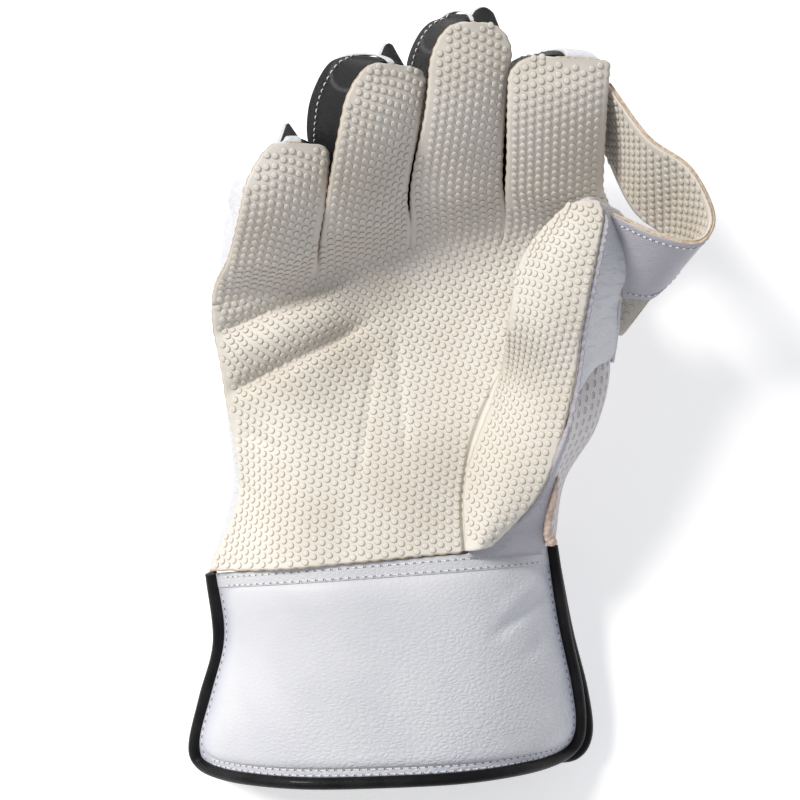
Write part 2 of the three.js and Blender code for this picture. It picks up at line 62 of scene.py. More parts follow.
# Palm sheet: a row for each station from wrist to crotches
# columns: little finger edge, little-ring line, ring-middle line, middle-index line, thumb crease
PALM_ROWS = np.array([
    [[-73.3, -65.2, 36], [-44.8, -63.1, 57], [-20.5, -60.6, 61], [1.9, -58.4, 61], [23.1, -56.7, 58]],
    [[-62.3, -34.6, 34], [-41.4, -33.8, 51], [-18.8, -33.8, 54], [3.7, -31.8, 54], [23.3, -29.3, 50]],
    [[-67.0, 1.9, 37], [-41.0, 3.0, 44], [-13.3, 7.6, 41], [13.3, 10.7, 41], [35.4, 5.7, 45]],
    [[-71.2, 35.6, 46], [-33.0, 41.8, 44], [3.1, 54.2, 40], [38.2, 57.3, 40], [76.5, 62.8, 42]],
])

# Fingers: rows at lower joint, upper joint and tip; columns: left edge x, y, z, right edge x, y, z
# Pairs are for the left and the right side. round, blunt and power shape the corners of the tip, wider
# brings the edge of the face to its neighbour's, flare widens the wall towards the back, and lean is the
# share of the back's lean that is kept at the tip. On the thumb's outer side tuck narrows the lower end
# of the leather, shoulder its tip, and roll turns the face's edge down.
FINGERS = {
    "little": dict(
        rows=[[-63.2, 53.0, 66, -32.2, 55.7, 61], [-57.3, 70.2, 84, -28.4, 73.7, 76],
              [-53.0, 93.0, 92, -26.5, 92.0, 85]],
        depth=27, round=(18, 8), blunt=(0.16, 0.68), power=(1.3, 2.4), wider=(0, 1.6),
        flare=(0, 1), lean=0.2, nose=1.2, column=0),
    "ring": dict(
        rows=[[-27.6, 64.0, 67, 1.4, 75.0, 61], [-21.9, 91.0, 91, 5.8, 98.7, 82],
              [-15.5, 120.0, 101, 9.5, 119.0, 90]],
        depth=28, round=(16, 10), blunt=(0.3, 0.42), power=(1.5, 2.2), wider=(0.9, 1.5),
        flare=(5, -4), lean=0.45, nose=0.8, column=1),
    "middle": dict(
        rows=[[5.2, 80.0, 65, 36.6, 82.4, 62], [10.4, 106.0, 90, 37.2, 108.3, 84],
              [12.0, 134.0, 101, 40.0, 134.0, 95]],
        depth=29, round=(20, 16), blunt=(0.2, 0.22), power=(1.8, 2.0), wider=(0.9, 1.4),
        flare=(3, -2), lean=0.5, nose=1.4, column=2),
    "index": dict(
        rows=[[40.2, 81.5, 63, 75.2, 80.0, 60], [39.6, 103.7, 86, 74.2, 101.9, 83],
              [39.8, 123.4, 95, 74.6, 121.0, 93]],
        depth=29, round=(13, 4), blunt=(0.3, 0.9), power=(1.8, 2.4), wider=(0.9, 0.4),
        flare=(2, 1), lean=0.35, nose=1.4, column=3),
}
FINGER_NAMES = list(FINGERS)
CROWN = 2.6
TIP_FLATTENING = 0.7
TIP_CROWDING = 1.6
ROOT_DROP = 4.0
ROLL_SHARE = 0.8
WALL_INSET = 1.0
WALL_OVERLAP = 1.2
BACK_CROWN = 1.6
NOSE_PAD = 0.6

# Spans along a digit, and RIM_SPAN across its half width: where each change starts, and the share it takes
FLARE_SPAN = (0.35, 0.5)
TUCK_SPAN = (0.4, 0.14)
SHOULDER_SPAN = (0.75, 0.25)
FLATTENING_SPAN = (0.8, 0.2)
WIDENING_SPAN = (0.0, 0.14)
PALM_BLEND_SPAN = (0.0, 0.3)
ROOT_SPAN = (0.0, 0.25)
RIM_SPAN = (0.8, 0.2)

# Thumb: rows at wrist, mound, root, lower joint, upper joint and tip; columns as on the fingers
THUMB = dict(
    rows=[[24.4, -56.4, 58, 34.4, -54.9, 58], [24.6, -28.9, 51, 52.0, -31.3, 68],
          [36.9, 6.2, 49, 60.4, 1.8, 79], [39.5, 28.5, 74, 64.3, 27.9, 92],
          [43.5, 50.1, 80, 68.7, 53.2, 98], [54.0, 69.0, 88, 72.5, 72.5, 97]],
    depth=28, round=(26, 14), blunt=(0.2, 0.5), power=(1.6, 2.0), wider=(0, 0),
    flare=(1, 4), lean=1.0, nose=0.5, column=None, tuck=7.5, shoulder=6.5,
    roll=2.4)

# Thumb leather: it starts further up its outer side than beside the face
THUMB_LEATHER = dict(beside_face=0.31, outer_side=0.43)
THUMB_LIP = dict(start=0.3, end=0.96, wide=1.5, scallop=0.28, length=3.6, below=1.2, drop=0.9)

# Ears: black corners of the side walls that stand up past the tips
# rows: base left, base right, top right, top left; columns: x, y, z
EARS = {
    "little": [[-43.6, 92.6, 85], [-34.6, 92.8, 82], [-40.6, 101.6, 71], [-41.9, 101.0, 71]],
    "ring": [[-8.4, 119.6, 93], [3.0, 118.2, 88], [-2.6, 129.2, 79], [-5.9, 128.6, 79]],
    "middle": [[22.6, 133.0, 94], [37.4, 129.6, 91], [34.2, 140.4, 81], [27.0, 141.2, 81]],
}

# Palm creases: ends of each valley in plan, depth and half width; the pleat stands between them
CREASES = [
    dict(start=(-70, 25.5), end=(-14, 48.5), height=-3.2, spread=2.6),
    dict(start=(-66, 2.5), end=(-9, 31.0), height=-3.6, spread=2.8),
    dict(start=(-68, 14.5), end=(-14, 39.0), height=3.4, spread=7.0),
    dict(start=(-16, -30.0), end=(-9, 22.0), height=-0.8, spread=1.9),
    dict(start=(2, -22.0), end=(-2, 34.0), height=-0.7, spread=2.2),
    dict(start=(-60, -12.0), end=(-44, -20.0), height=-0.9, spread=1.7),
    dict(start=(-66, -30.0), end=(-48, -41.0), height=-0.8, spread=1.8),
]

# Back of the hand: a row for each station from wrist to knuckles
# columns: little edge, little side, floor left, floor right, thumb side, thumb edge
BACK_ROWS = np.array([
    [[-72.5, -64.6, 32], [-72.5, -63, 16], [-54, -62, 0], [34, -58, 0], [59.5, -55, 19], [54.5, -54.5, 42]],
    [[-61.6, -34.6, 30], [-65.0, -34, 15], [-50, -34, 0], [34, -32, 0], [62.5, -31, 26], [57.0, -30.5, 60]],
    [[-64.0, -8.0, 31], [-67.0, -8, 15], [-51, -8, 0], [40, -8, 0], [75.0, -9, 32], [62.8, -8.0, 71]],
    [[-66.6, 16.0, 35], [-69.0, 16, 16], [-51, 18, 0], [46, 22, 0], [81.0, 19, 26], [66.0, 22.0, 40]],
    [[-70.4, 34.6, 42], [-72.0, 38, 26], [-58, 41, 16], [62, 66, 10], [78.0, 64, 24], [76.0, 62.0, 38]],
])
KNUCKLE_GAP = 0.5

# Catch web: rims from the index finger round to the thumb; columns: upper x, y, z, lower x, y, z
WEB_ROWS = [
    [88.5, 94.3, 91, 86.4, 72.6, 60],
    [103.2, 82.5, 95, 99.5, 60.5, 62],
    [111.1, 65.6, 97, 103.5, 50.5, 64],
    [106.0, 56.3, 98, 97.0, 41.5, 66],
    [92.0, 58.6, 98, 91.5, 37.5, 68],
]
WEB_LAYER = 1.1
WEB_SEAMS = {
    "index": dict(upper=(0.86, 0.15), lower=(0.5, 0.75), apart=2.0),
    "thumb": dict(upper=(0.95, 0.4), lower=(0.62, 0.75), apart=0.8),
}
WEB_CORNER = dict(start=0.79, left=(81.2, 39.8, 62), point=(80.4, 24.0, 59), point_width=2.4)

# Cuff front panel: a row for each station from the wrist seam to the mouth
# columns: left x, y, z, middle z, middle y, right x, y, z
CUFF_ROWS = np.array([
    [-72.0, -66.6, 33, 61.5, -59.4, 57.5, -56.0, 33],
    [-69.0, -90.0, 27, 59.5, -86.0, 62.0, -84.0, 27],
    [-74.0, -112.0, 23, 57.5, -110.0, 67.5, -109.0, 23],
    [-79.5, -132.0, 20, 55.5, -129.5, 70.0, -127.0, 20],
    [-77.0, -143.5, 19, 54.5, -142.5, 65.0, -138.5, 19],
])
CUFF_ARCH = 3.0
BINDING_RADIUS = 2.4
BINDING_OUT = 1.1
CUFF_MARGIN = 0.032
CUFF_TOP = 0.015
CUFF_SPAN = (130.0, 82.0)
CUFF_PADDING = dict(side=2.4, seam=5.6, mouth=7.4, corner=7.5, sink=2.4)
CUFF_FOLDS = [
    dict(start=(62, -71.0), end=(32.0, -91.0), height=-1.5, spread=2.8),
    dict(start=(60, -64.5), end=(36, -82.0), height=1.0, spread=3.6),
    dict(start=(64, -84.0), end=(44, -101.0), height=-0.8, spread=3.0),
]
CUFF_BACK = dict(wider=(0.3, 4.0), longer=1.5, below=8.95, floor_share=0.55, thickness=3.0)
THUMB_JOIN = dict(thumb=(0.43, 0.76), hand=(0.74, 0.99), turn=0.85, column=0.92, sag=1.0)
GUSSET = dict(end=0.46, back_end=0.72, bulge=1.5, apart=1.0, down=3.4, under=(0.0, 0.94))
# Dark line painted as the shade in a fold of the gusset: its points in plan, then its radius and its lift off
# the leather
GUSSET_FOLD = [(57.2, -29.4), (55.6, -35.0), (54.2, -41.0), (52.4, -50.0), (52.6, -53.0)]
GUSSET_FOLD_LINE = dict(radius=0.5, lift=0.4)
WRIST_ROLL = [
    (58.6, -28.0, 62), (57.6, -35.7, 59), (56.0, -44.0, 53.5), (55.9, -50.0, 49.5), (57.8, -54.8, 47),
]
WRIST_ROLL_RADIUS = 1.5

# Cuff details: shares of its length from the wrist seam, size of the front's UV map, and the top band
CUFF_SHARES = (0.005, 0.995)
CUFF_BACK_END = 0.985
CUFF_FLAT = (80.0, 140.0)
BAND = dict(start=0.005, wide=0.06, lift=0.25, thickness=1.4)

# Half of each binding's line, from the wrist down the left side and across to the middle of the mouth
FRONT_BINDING = dict(down=(0.0, 0.04, 0.3, 0.55, 0.8), corner=(0.0, 0.96), corner_out=(-0.9, -0.5),
                     across=(0.05, 0.15, 0.3, 0.5))
BACK_BINDING = dict(down=(0.04, 0.3, 0.55, 0.8), corner=(0.005, 0.97), corner_out=(-0.7, -0.7),
                    across=(0.06, 0.15, 0.3, 0.5))

# Pimples of the rubber: profile as shares of radius and height, the painted shade at its base for each of
# those points, and the room kept from the left, right, first and last edge of each sheet
STUD_PITCH = 3.45
STUD_RADIUS = 1.22
STUD_HEIGHT = 0.55
STUD_SIDES = 10
STUD_PROFILE = [(1.06, -0.12), (1.0, 0.35), (0.88, 0.82), (0.55, 0.98), (0.0, 1.0)]
STUD_FOOT_SHADE = (1.0, 0.8, 0.0, 0.0, 0.0)
STUD_ROOM = dict(
    palm=(1.35, 0.6, 1.7, -1), finger=(1.35, 1.35, -1, 2.1), thumb=(1.1, 1.35, 2.4, 1.8),
    web=(1.35, 1.35, 1.5, 1.5), web_corner=(1.2, 1.2, 1.2, 1.2))
STUD_ROOM_ROOT = 0.1

# Cut edges of the rubber: a slight wave and a raw brown line. The palm's turns are the wave's angle over its
# whole width and length, and its reach the share over which the wave fades
EDGE_WAVE = dict(height=0.16, length=4.3, palm_turns=(108, 146), palm_reach=0.03)
EDGE_LINE = 0.36
WEB_EDGE_LINE = 0.28
EDGE_LINE_SINK = 0.55

# Thread stitches of each seam: pitch, size of a stitch, lift off the leather and radius of the needle holes
CUFF_STITCH = dict(pitch=3.1, length=2.3, radius=0.3, lift=0.1, hole=0.3)
FLANGE_STITCH = dict(pitch=3.1, length=2.3, radius=0.22, lift=0.02, hole=0.36)
WEB_STITCH = dict(pitch=2.5, length=1.6, radius=0.22, lift=0.1, hole=0.34)
WALL_STITCH = dict(pitch=2.5, length=1.6, radius=0.22, lift=0.15, hole=0.0)

# Rows of stitches: share of the depth on the black walls, of the width on the web, of the length on the cuff
# and of the width on its flanges
WALL_ROW = 0.66
WEB_STITCH_ROWS = dict(upper=0.085, lower=0.93)
BAND_STITCH_ROWS = dict(band_upper=0.022, band_lower=0.056)
MOUTH_STITCH_ROWS = dict(mouth=0.922, mouth_lower=0.965)
FLANGE_STITCH_ROWS = dict(left=0.014, right=0.986)

# Points of a mesh that are closer than this become one
WELD = 0.03


# Points and lines
def smooth(k):
    k = np.clip(k, 0, 1)
    return k * k * (3 - 2 * k)


def rise(k, span):
    """0 before a span, 1 after it; span is its start and its length"""
    return smooth((k - span[0]) / span[1])


def unit(v):
    return v / np.maximum(np.linalg.norm(v, axis=-1, keepdims=True), 1e-9)


def mix(a, b, k):
    return a + (b - a) * np.asarray(k)[..., None]


def spline(points, k):
    """Uniform Catmull-Rom line through points at shares k; points may differ for each k"""
    points = np.asarray(points, float)
    k = np.asarray(k, float)
    if points.ndim == 2:
        points = points.reshape(len(points), *([1] * k.ndim), 3)
    points = np.broadcast_to(points, (len(points), *k.shape, 3))
    place = np.clip(k, 0, 1) * (len(points) - 1)
    first = np.minimum(place.astype(int), len(points) - 2)
    w = (place - first)[..., None]
    ends = np.concatenate([2 * points[:1] - points[1:2], points, 2 * points[-1:] - points[-2:-1]])
    a, b, c, d = (np.take_along_axis(ends, (first + s)[None, ..., None], axis=0)[0] for s in range(4))
    start, finish = (c - a) / 2, (d - b) / 2
    square = 3 * (c - b) - 2 * start - finish
    cube = 2 * (b - c) + start + finish
    return b + start * w + square * w ** 2 + cube * w ** 3


def ridge(x, y, start, end, height, spread):
    """Height at x, y of one fold that runs from start to end"""
    dx, dy = end[0] - start[0], end[1] - start[1]
    length = math.hypot(dx, dy)
    along = ((x - start[0]) * dx + (y - start[1]) * dy) / length ** 2
    across = ((x - start[0]) * dy - (y - start[1]) * dx) / length
    ends = smooth((along + 0.05) / 0.2) * smooth((1.02 - along) / 0.3)
    return height * ends * np.exp(-(across / spread) ** 2)


def folds(p, table):
    return sum(ridge(p[..., 0], p[..., 1], **fold) for fold in table)


# Palm
def edge_next(column):
    """Where a line of the palm goes on into the fingers beside it"""
    sides = []
    if column > 0:
        sides.append(FINGERS[FINGER_NAMES[column - 1]]["rows"][0][3:])
    if column < 4:
        sides.append(FINGERS[FINGER_NAMES[column]]["rows"][0][:3])
    return np.mean(sides, axis=0)


CROTCHES = PALM_ROWS[3]
PALM_LINES = [np.vstack([PALM_ROWS[:, k], edge_next(k)]) for k in range(5)]


def palm_point(across, along):
    lines = np.stack([spline(points, 0.75 * along) for points in PALM_LINES])
    p = spline(lines, across)
    p[..., 2] += folds(p, CREASES)
    turns = EDGE_WAVE["palm_turns"]
    at_wrist, at_side = (1 - smooth(share / EDGE_WAVE["palm_reach"]) for share in (along, across))
    p[..., 1] += EDGE_WAVE["height"] * np.sin(turns[0] * across) * at_wrist
    p[..., 0] += EDGE_WAVE["height"] * np.sin(turns[1] * along) * at_side
    return p


# Digits
def make_digit(table, before):
    rows = np.array(table["rows"], float)
    digit = dict(table)
    digit["left"] = np.array([pair[0] for pair in before] + list(rows[:, :3]))
    digit["right"] = np.array([pair[1] for pair in before] + list(rows[:, 3:]))
    digit["spans"] = len(digit["left"]) - 1
    digit["first"] = 1 if len(before) else 0
    middle = digit_frame(digit, np.linspace(0, 1, 41))["middle"]
    length = np.linalg.norm(np.diff(middle, axis=0), axis=1).sum()
    digit["round_share"] = [rounded / length for rounded in table["round"]]
    digit["waves"] = 2 * PI * length / EDGE_WAVE["length"]
    return digit


def digit_frame(digit, t):
    t = np.asarray(t, float)
    k = (digit["first"] + t * (digit["spans"] - digit["first"])) / digit["spans"]
    left, right = spline(digit["left"], k), spline(digit["right"], k)
    middle_at = lambda share: (spline(digit["left"], share) + spline(digit["right"], share)) / 2
    tangent = unit(middle_at(np.minimum(k + 0.01, 1)) - middle_at(np.maximum(k - 0.01, 0)))
    side = right - left
    half = np.linalg.norm(side, axis=-1) / 2
    side = unit(side)
    up = unit(np.cross(side, tangent))
    plumb = unit(UP - side * side[..., 2:3])
    depth_up = unit(mix(plumb, up, digit["lean"]))
    if digit["column"] is not None:
        unrolled = unit(np.cross(np.array([1.0, 0, 0]), tangent))
        depth_up = unit(mix(depth_up, unrolled, 1 - smooth(t / ROLL_SHARE)))
    ahead = unit(np.cross(depth_up, side))
    return dict(middle=(left + right) / 2, tangent=tangent, ahead=ahead, side=side, up=up,
                depth_up=depth_up, half=half)


def sided(digit, name, side):
    """Value of a digit's left or right side"""
    return np.where(np.asarray(side) < 0, *digit[name])


def digit_width(digit, t, side):
    """Share of the half width at t, narrowing round the corner of the tip"""
    rounded, blunt = sided(digit, "round_share", side), sided(digit, "blunt", side)
    into = np.clip((t - 1 + rounded) / rounded, 0, 1)
    return blunt + (1 - blunt) * np.sqrt(np.maximum(1 - into ** sided(digit, "power", side), 0))


DIGITS = {
    name: make_digit(table, [(PALM_ROWS[2][k], PALM_ROWS[2][k + 1]), (CROTCHES[k], CROTCHES[k + 1])])
    for k, (name, table) in enumerate(FINGERS.items())
}
DIGITS["thumb"] = make_digit(THUMB, [])


def face_point(digit, across, t, wider=0.0):
    """Crowned face of a digit; wider is the share of its widening that is used"""
    side = 2 * across - 1
    f = digit_frame(digit, t)
    reach = side * (f["half"] + wider * sided(digit, "wider", side)) * digit_width(digit, t, side)
    crown = CROWN * (1 - side ** 2) * (1 - TIP_FLATTENING * rise(t, FLATTENING_SPAN))
    crown = crown - digit.get("roll", 0) * np.clip(side, 0, 1) ** 2
    near_edge = rise(np.abs(side), RIM_SPAN) * np.sign(side)
    reach = reach + EDGE_WAVE["height"] * near_edge * np.sin(t * digit["waves"] + 2 * side)
    return f["middle"] + f["side"] * reach[..., None] + f["up"] * crown[..., None]


def finger_face_point(name, across, t):
    """Face of a finger, blended into the palm at its root"""
    digit = DIGITS[name]
    own = face_point(digit, across, t, rise(t, WIDENING_SPAN))
    palm = spline(CROTCHES, (digit["column"] + across) / 4)
    palm[..., 2] += folds(palm, CREASES)
    base = face_point(digit, across, np.zeros_like(t))
    return own + (palm - base) * (1 - rise(t, PALM_BLEND_SPAN))[..., None]


def shell_point(digit, t, side, angle, pad=0.0, short=0.0, out=0.0):
    """Half section of a digit's shell; side is -1 or 1, angle 0 under the face and PI at the back"""
    f = digit_frame(digit, t)
    drop = (1 - np.cos(angle)) / 2
    flare = sided(digit, "flare", side) * rise(t, FLARE_SPAN)
    narrowed = digit.get("tuck", 0) * (1 - rise(t, TUCK_SPAN))
    narrowed = narrowed + digit.get("shoulder", 0) * rise(t, SHOULDER_SPAN)
    narrowed = np.where(np.asarray(side) > 0, narrowed, 0)
    half = f["half"] * digit_width(digit, t, side) - WALL_INSET + (flare - narrowed) * drop + out
    reach = 1 / np.sum(f["depth_up"] * f["up"], axis=-1)
    top = reach * (FACING + GAP - WALL_OVERLAP) + ROOT_DROP * (1 - rise(t, ROOT_SPAN))
    bottom = reach * (digit["depth"] + pad - short)
    depth = top + (bottom - top) * drop
    return (f["middle"] + f["side"] * (side * half)[..., None] + f["tangent"] * GAP
            - f["depth_up"] * depth[..., None])


def end_point(digit, t, share, angle, pad=0.0, short=0.0, out=0.0):
    """Back and rounded end of a digit, share -1 to 1 across"""
    one = np.ones_like(share)
    left = shell_point(digit, t, -one, angle, pad, short, out)
    right = shell_point(digit, t, one, angle, pad, short, out)
    drop = (1 - np.cos(angle)) / 2
    f = digit_frame(digit, t)
    bulge = np.sin(angle) * (digit["nose"] * (1 - np.abs(share) ** 3) + NOSE_PAD * pad * (1 - share ** 8))
    p = mix(left, right, (share + 1) / 2) + f["ahead"] * bulge[..., None]
    return p - f["depth_up"] * (BACK_CROWN * drop ** 2 * (1 - share ** 2))[..., None]


def tipward(k):
    """Steps along a digit crowd towards its tip"""
    return 1 - (1 - k) ** TIP_CROWDING


# Meshes
def place(points):
    """Plan millimetres to the frame's metres"""
    return (np.asarray(points) - PLAN_MIDDLE) * MM


def add_patch(bm, across, along, point_at, flat=(1.0, 1.0), mark=0):
    """Grid whose points come from point_at(u, v); u cross v points outwards"""
    uv_layer = bm.loops.layers.uv.verify()
    made = bmesh.ops.create_grid(bm, x_segments=across, y_segments=along, size=0.5)
    verts = made["verts"]
    u = np.array([v.co.x + 0.5 for v in verts])
    v = np.array([v.co.y + 0.5 for v in verts])
    points = place(point_at(u, v))
    uvs = {}
    for vert, point, a, b in zip(verts, points, u, v):
        vert.co = point
        uvs[vert] = (a * flat[0], b * flat[1])
    for face in {f for vert in verts for f in vert.link_faces}:
        face.smooth = True
        face.material_index = mark
        for loop in face.loops:
            loop[uv_layer].uv = uvs[loop.vert]


def finish_mesh(bm, name, materials):
    """Sews patches whose edges meet, keeps the outward side and makes the object"""
    bm.normal_update()
    before = {f: f.normal.copy() for f in bm.faces}
    bmesh.ops.remove_doubles(bm, verts=bm.verts, dist=WELD * MM)
    bmesh.ops.dissolve_degenerate(bm, dist=WELD * MM / 10, edges=bm.edges)
    bmesh.ops.recalc_face_normals(bm, faces=bm.faces)
    agree = sum(1 if f.normal.dot(before[f]) > 0 else -1 for f in bm.faces if f in before)
    if agree < 0:
        bmesh.ops.reverse_faces(bm, faces=bm.faces)
    mesh = bpy.data.meshes.new(name)
    bm.to_mesh(mesh)
    bm.free()
    return add_object(name, mesh, materials)


def add_object(name, mesh, materials):
    obj = bpy.data.objects.new(name, mesh)
    bpy.context.scene.collection.objects.link(obj)
    for material in materials:
        mesh.materials.append(material)
    return obj


def thicken(obj, thickness, rim=0, inner=0, offset=-1):
    """Wall on the inner side, with its own material slots for rim and inner side"""
    solid = obj.modifiers.new("thickness", "SOLIDIFY")
    solid.thickness = thickness * MM
    solid.offset = offset
    solid.use_even_offset = True
    solid.thickness_clamp = 0.6
    solid.material_offset = inner
    solid.material_offset_rim = rim
    return solid


def subdivide(obj, levels=2):
    smoother = obj.modifiers.new("subdivision", "SUBSURF")
    smoother.levels = levels
    smoother.render_levels = levels
    return smoother


def turned(profile, sides):
    """Points and faces of a small closed round body about z, from its (radius, height) pairs"""
    bm = bmesh.new()
    verts = [bm.verts.new((radius, 0, height)) for radius, height in profile]
    for pair in zip(verts, verts[1:]):
        bm.edges.new(pair)
    geom = bm.verts[:] + bm.edges[:]
    bmesh.ops.spin(bm, geom=geom, cent=(0, 0, 0), axis=(0, 0, 1), angle=2 * PI, steps=sides, use_merge=True)
    bmesh.ops.remove_doubles(bm, verts=bm.verts, dist=1e-4)
    bmesh.ops.holes_fill(bm, edges=bm.edges)
    bmesh.ops.recalc_face_normals(bm, faces=bm.faces)
    bm.verts.index_update()
    points = np.array([v.co[:] for v in bm.verts])
    faces = [[v.index for v in face.verts] for face in bm.faces]
    bm.free()
    return points, faces


def scatter(name, template, faces, origins, axes, materials, foot_shade=None):
    """One mesh of many copies of a small body; axes are three arrays of directions, and a given mark of
    painted shade is kept on each of its points"""
    count, size = len(origins), len(template)
    points = origins[:, None] + sum(template[None, :, k, None] * axes[k][:, None] for k in range(3))
    all_faces = [[i + size * n for i in face] for n in range(count) for face in faces]
    mesh = bpy.data.meshes.new(name)
    mesh.from_pydata(place(points.reshape(-1, 3)).tolist(), [], all_faces)
    mesh.polygons.foreach_set("use_smooth", [True] * len(mesh.polygons))
    if foot_shade is not None:
        mesh.attributes.new("foot_shade", "FLOAT", "POINT").data.foreach_set("value", np.tile(foot_shade, count))
    mesh.update()
    return add_object(name, mesh, materials)


def normals_at(point_at, u, v, step=1e-3):
    a = point_at(np.clip(u + step, 0, 1), v) - point_at(np.clip(u - step, 0, 1), v)
    b = point_at(u, v + step) - point_at(u, v - step)
    return unit(np.cross(a, b))


def lattice(point_at, a_middle, b_start, margins, root=0.0, u_steps=41, v_steps=241):
    """Hexagonal lattice of u, v on a surface, even in its arc lengths; columns run along v.

    a_middle and b_start carry the count of a neighbouring surface on; margins are the room kept from the
    edges at u 0, u 1, v 0 and v 1, and root is the share of v over which the side margins grow.
    """
    u = np.linspace(0, 1, u_steps)
    v = np.linspace(0, 1, v_steps)
    grid_v, grid_u = np.meshgrid(v, u, indexing="ij")
    points = point_at(grid_u, grid_v)
    step_a = np.linalg.norm(np.diff(points, axis=1), axis=2)
    a = np.concatenate([np.zeros((v_steps, 1)), np.cumsum(step_a, axis=1)], axis=1)
    a += a_middle - a[:, u_steps // 2][:, None]
    step_b = np.linalg.norm(np.diff(points, axis=0), axis=2)
    b = np.concatenate([np.zeros((1, u_steps)), np.cumsum(step_b, axis=0)], axis=0) + b_start
    column_gap = STUD_PITCH * math.sqrt(3) / 2
    found = []
    for column in range(math.ceil(a.min() / column_gap), math.floor(a.max() / column_gap) + 1):
        target = column * column_gap
        u_line = np.array([np.interp(target, row, u) for row in a])
        b_line = np.array([np.interp(k, u, row) for k, row in zip(u_line, b)])
        room_left, room_right = target - a[:, 0], a[:, -1] - target
        room_start = b_line - np.array([np.interp(k, u, b[0]) for k in u_line])
        room_end = np.array([np.interp(k, u, b[-1]) for k in u_line]) - b_line
        shift = 0.5 * (column % 2)
        lowest = math.ceil(b_line.min() / STUD_PITCH - shift)
        highest = math.floor(b_line.max() / STUD_PITCH - shift)
        for n in range(lowest, highest + 1):
            level = (n + shift) * STUD_PITCH
            if not b_line[0] <= level <= b_line[-1]:
                continue
            v_here = np.interp(level, b_line, v)
            grown = smooth(v_here / root) if root else 1.0
            rooms = [np.interp(v_here, v, room) for room in (room_left, room_right, room_start, room_end)]
            needed = (margins[0] * grown, margins[1] * grown, margins[2], margins[3])
            if all(room >= need for room, need in zip(rooms, needed)):
                found.append((np.interp(v_here, v, u_line), v_here))
    return np.array(found).T, (u, a, b)


def add_studs(name, spots, point_at):
    """Pimples standing on a surface at its u, v spots"""
    u, v = spots
    up = normals_at(point_at, u, v)
    x = unit(np.cross(np.array([0.0, 1.0, 0.0]), up))
    y = np.cross(up, x)
    profile = [(STUD_RADIUS * r, STUD_HEIGHT * h) for r, h in STUD_PROFILE]
    body, faces = turned(profile, STUD_SIDES)
    # Painted shade: a mark that is full at the base of each pimple, where it meets the sheet, and nothing on
    # its top
    foot_shade = np.interp(body[:, 2], [height for _, height in profile], STUD_FOOT_SHADE)
    return dress(scatter(name, body, faces, point_at(u, v), (x, y, up), [RUBBER], foot_shade))


# Materials
class Nodes:
    """Short names for building a node tree"""
    def __init__(self, tree):
        self.tree = tree

    def add(self, kind, **settings):
        node = self.tree.nodes.new(kind)
        for name, value in settings.items():
            setattr(node, name, value)
        return node

    def link(self, source, target):
        self.tree.links.new(source, target)

    def feed(self, value, socket):
        """Links an output to a socket, or sets a plain value on it"""
        if isinstance(value, bpy.types.NodeSocket):
            self.link(value, socket)
        else:
            socket.default_value = value

    def math(self, operation, *values):
        node = self.add("ShaderNodeMath", operation=operation)
        for socket, value in zip(node.inputs, values):
            self.feed(value, socket)
        return node.outputs[0]

    def clamp(self, value, low=0.0, high=1.0):
        return self.math("MINIMUM", self.math("MAXIMUM", value, low), high)

    def split(self, vector):
        node = self.add("ShaderNodeSeparateXYZ")
        self.link(vector, node.inputs[0])
        return node.outputs

    def mix(self, share, first, second, blend="MIX"):
        """Mix of two colours"""
        node = self.add("ShaderNodeMix", data_type="RGBA", blend_type=blend)
        for index, value in ((0, share), (6, first), (7, second)):
            self.feed(value, node.inputs[index])
        return node.outputs[2]

    def ramp(self, source, stops):
        node = self.tree.nodes.new("ShaderNodeValToRGB")
        elements = node.color_ramp.elements
        while len(elements) < len(stops):
            elements.new(0.5)
        for element, (position, colour) in zip(elements, stops):
            element.position = position
            element.color = (*colour, 1)
        self.link(source, node.inputs[0])
        return node.outputs[0]

    def noise(self, vector, scale, detail=3, roughness=0.5, distortion=0.0):
        node = self.add("ShaderNodeTexNoise")
        for name, value in (("Scale", scale), ("Detail", detail), ("Roughness", roughness),
                            ("Distortion", distortion)):
            node.inputs[name].default_value = value
        self.link(vector, node.inputs["Vector"])
        return node.outputs["Fac"]

    def bump(self, height, distance, strength=1.0, normal=None):
        node = self.add("ShaderNodeBump")
        node.inputs["Distance"].default_value = distance
        node.inputs["Strength"].default_value = strength
        self.link(height, node.inputs["Height"])
        if normal is not None:
            self.link(normal, node.inputs["Normal"])
        return node.outputs["Normal"]


def new_material(name, colour, roughness, sheen=0.0, specular=0.5, coat=0.0):
    material = bpy.data.materials.new(name)
    material.use_nodes = True
    shader = material.node_tree.nodes["Principled BSDF"]
    shader.inputs["Base Color"].default_value = (*colour, 1)
    shader.inputs["Roughness"].default_value = roughness
    shader.inputs["Sheen Weight"].default_value = sheen
    shader.inputs["Specular IOR Level"].default_value = specular
    shader.inputs["Coat Weight"].default_value = coat
    material.diffuse_color = (*colour, 1)
    return material, Nodes(material.node_tree), shader


def object_coords(n):
    return n.add("ShaderNodeTexCoord").outputs["Object"]


def rubber_material():
    material, n, shader = new_material("moulded_rubber", (0.74, 0.66, 0.55), 0.62, specular=0.4)
    where = object_coords(n)
    broad = n.noise(where, 22, 4, 0.55)
    fine = n.noise(where, 900, 3)
    tint = n.ramp(broad, [(0.3, (0.63, 0.585, 0.515)), (0.62, (0.73, 0.70, 0.645))])
    # Painted shade: the rubber is darker at the base of each pimple, by the mark made with the pimples
    foot_shade = n.add("ShaderNodeAttribute")
    foot_shade.attribute_name = "foot_shade"
    n.link(n.mix(foot_shade.outputs["Fac"], tint, (0.43, 0.37, 0.31, 1)), shader.inputs["Base Color"])
    n.link(n.bump(fine, 0.00012, 0.5), shader.inputs["Normal"])
    return material


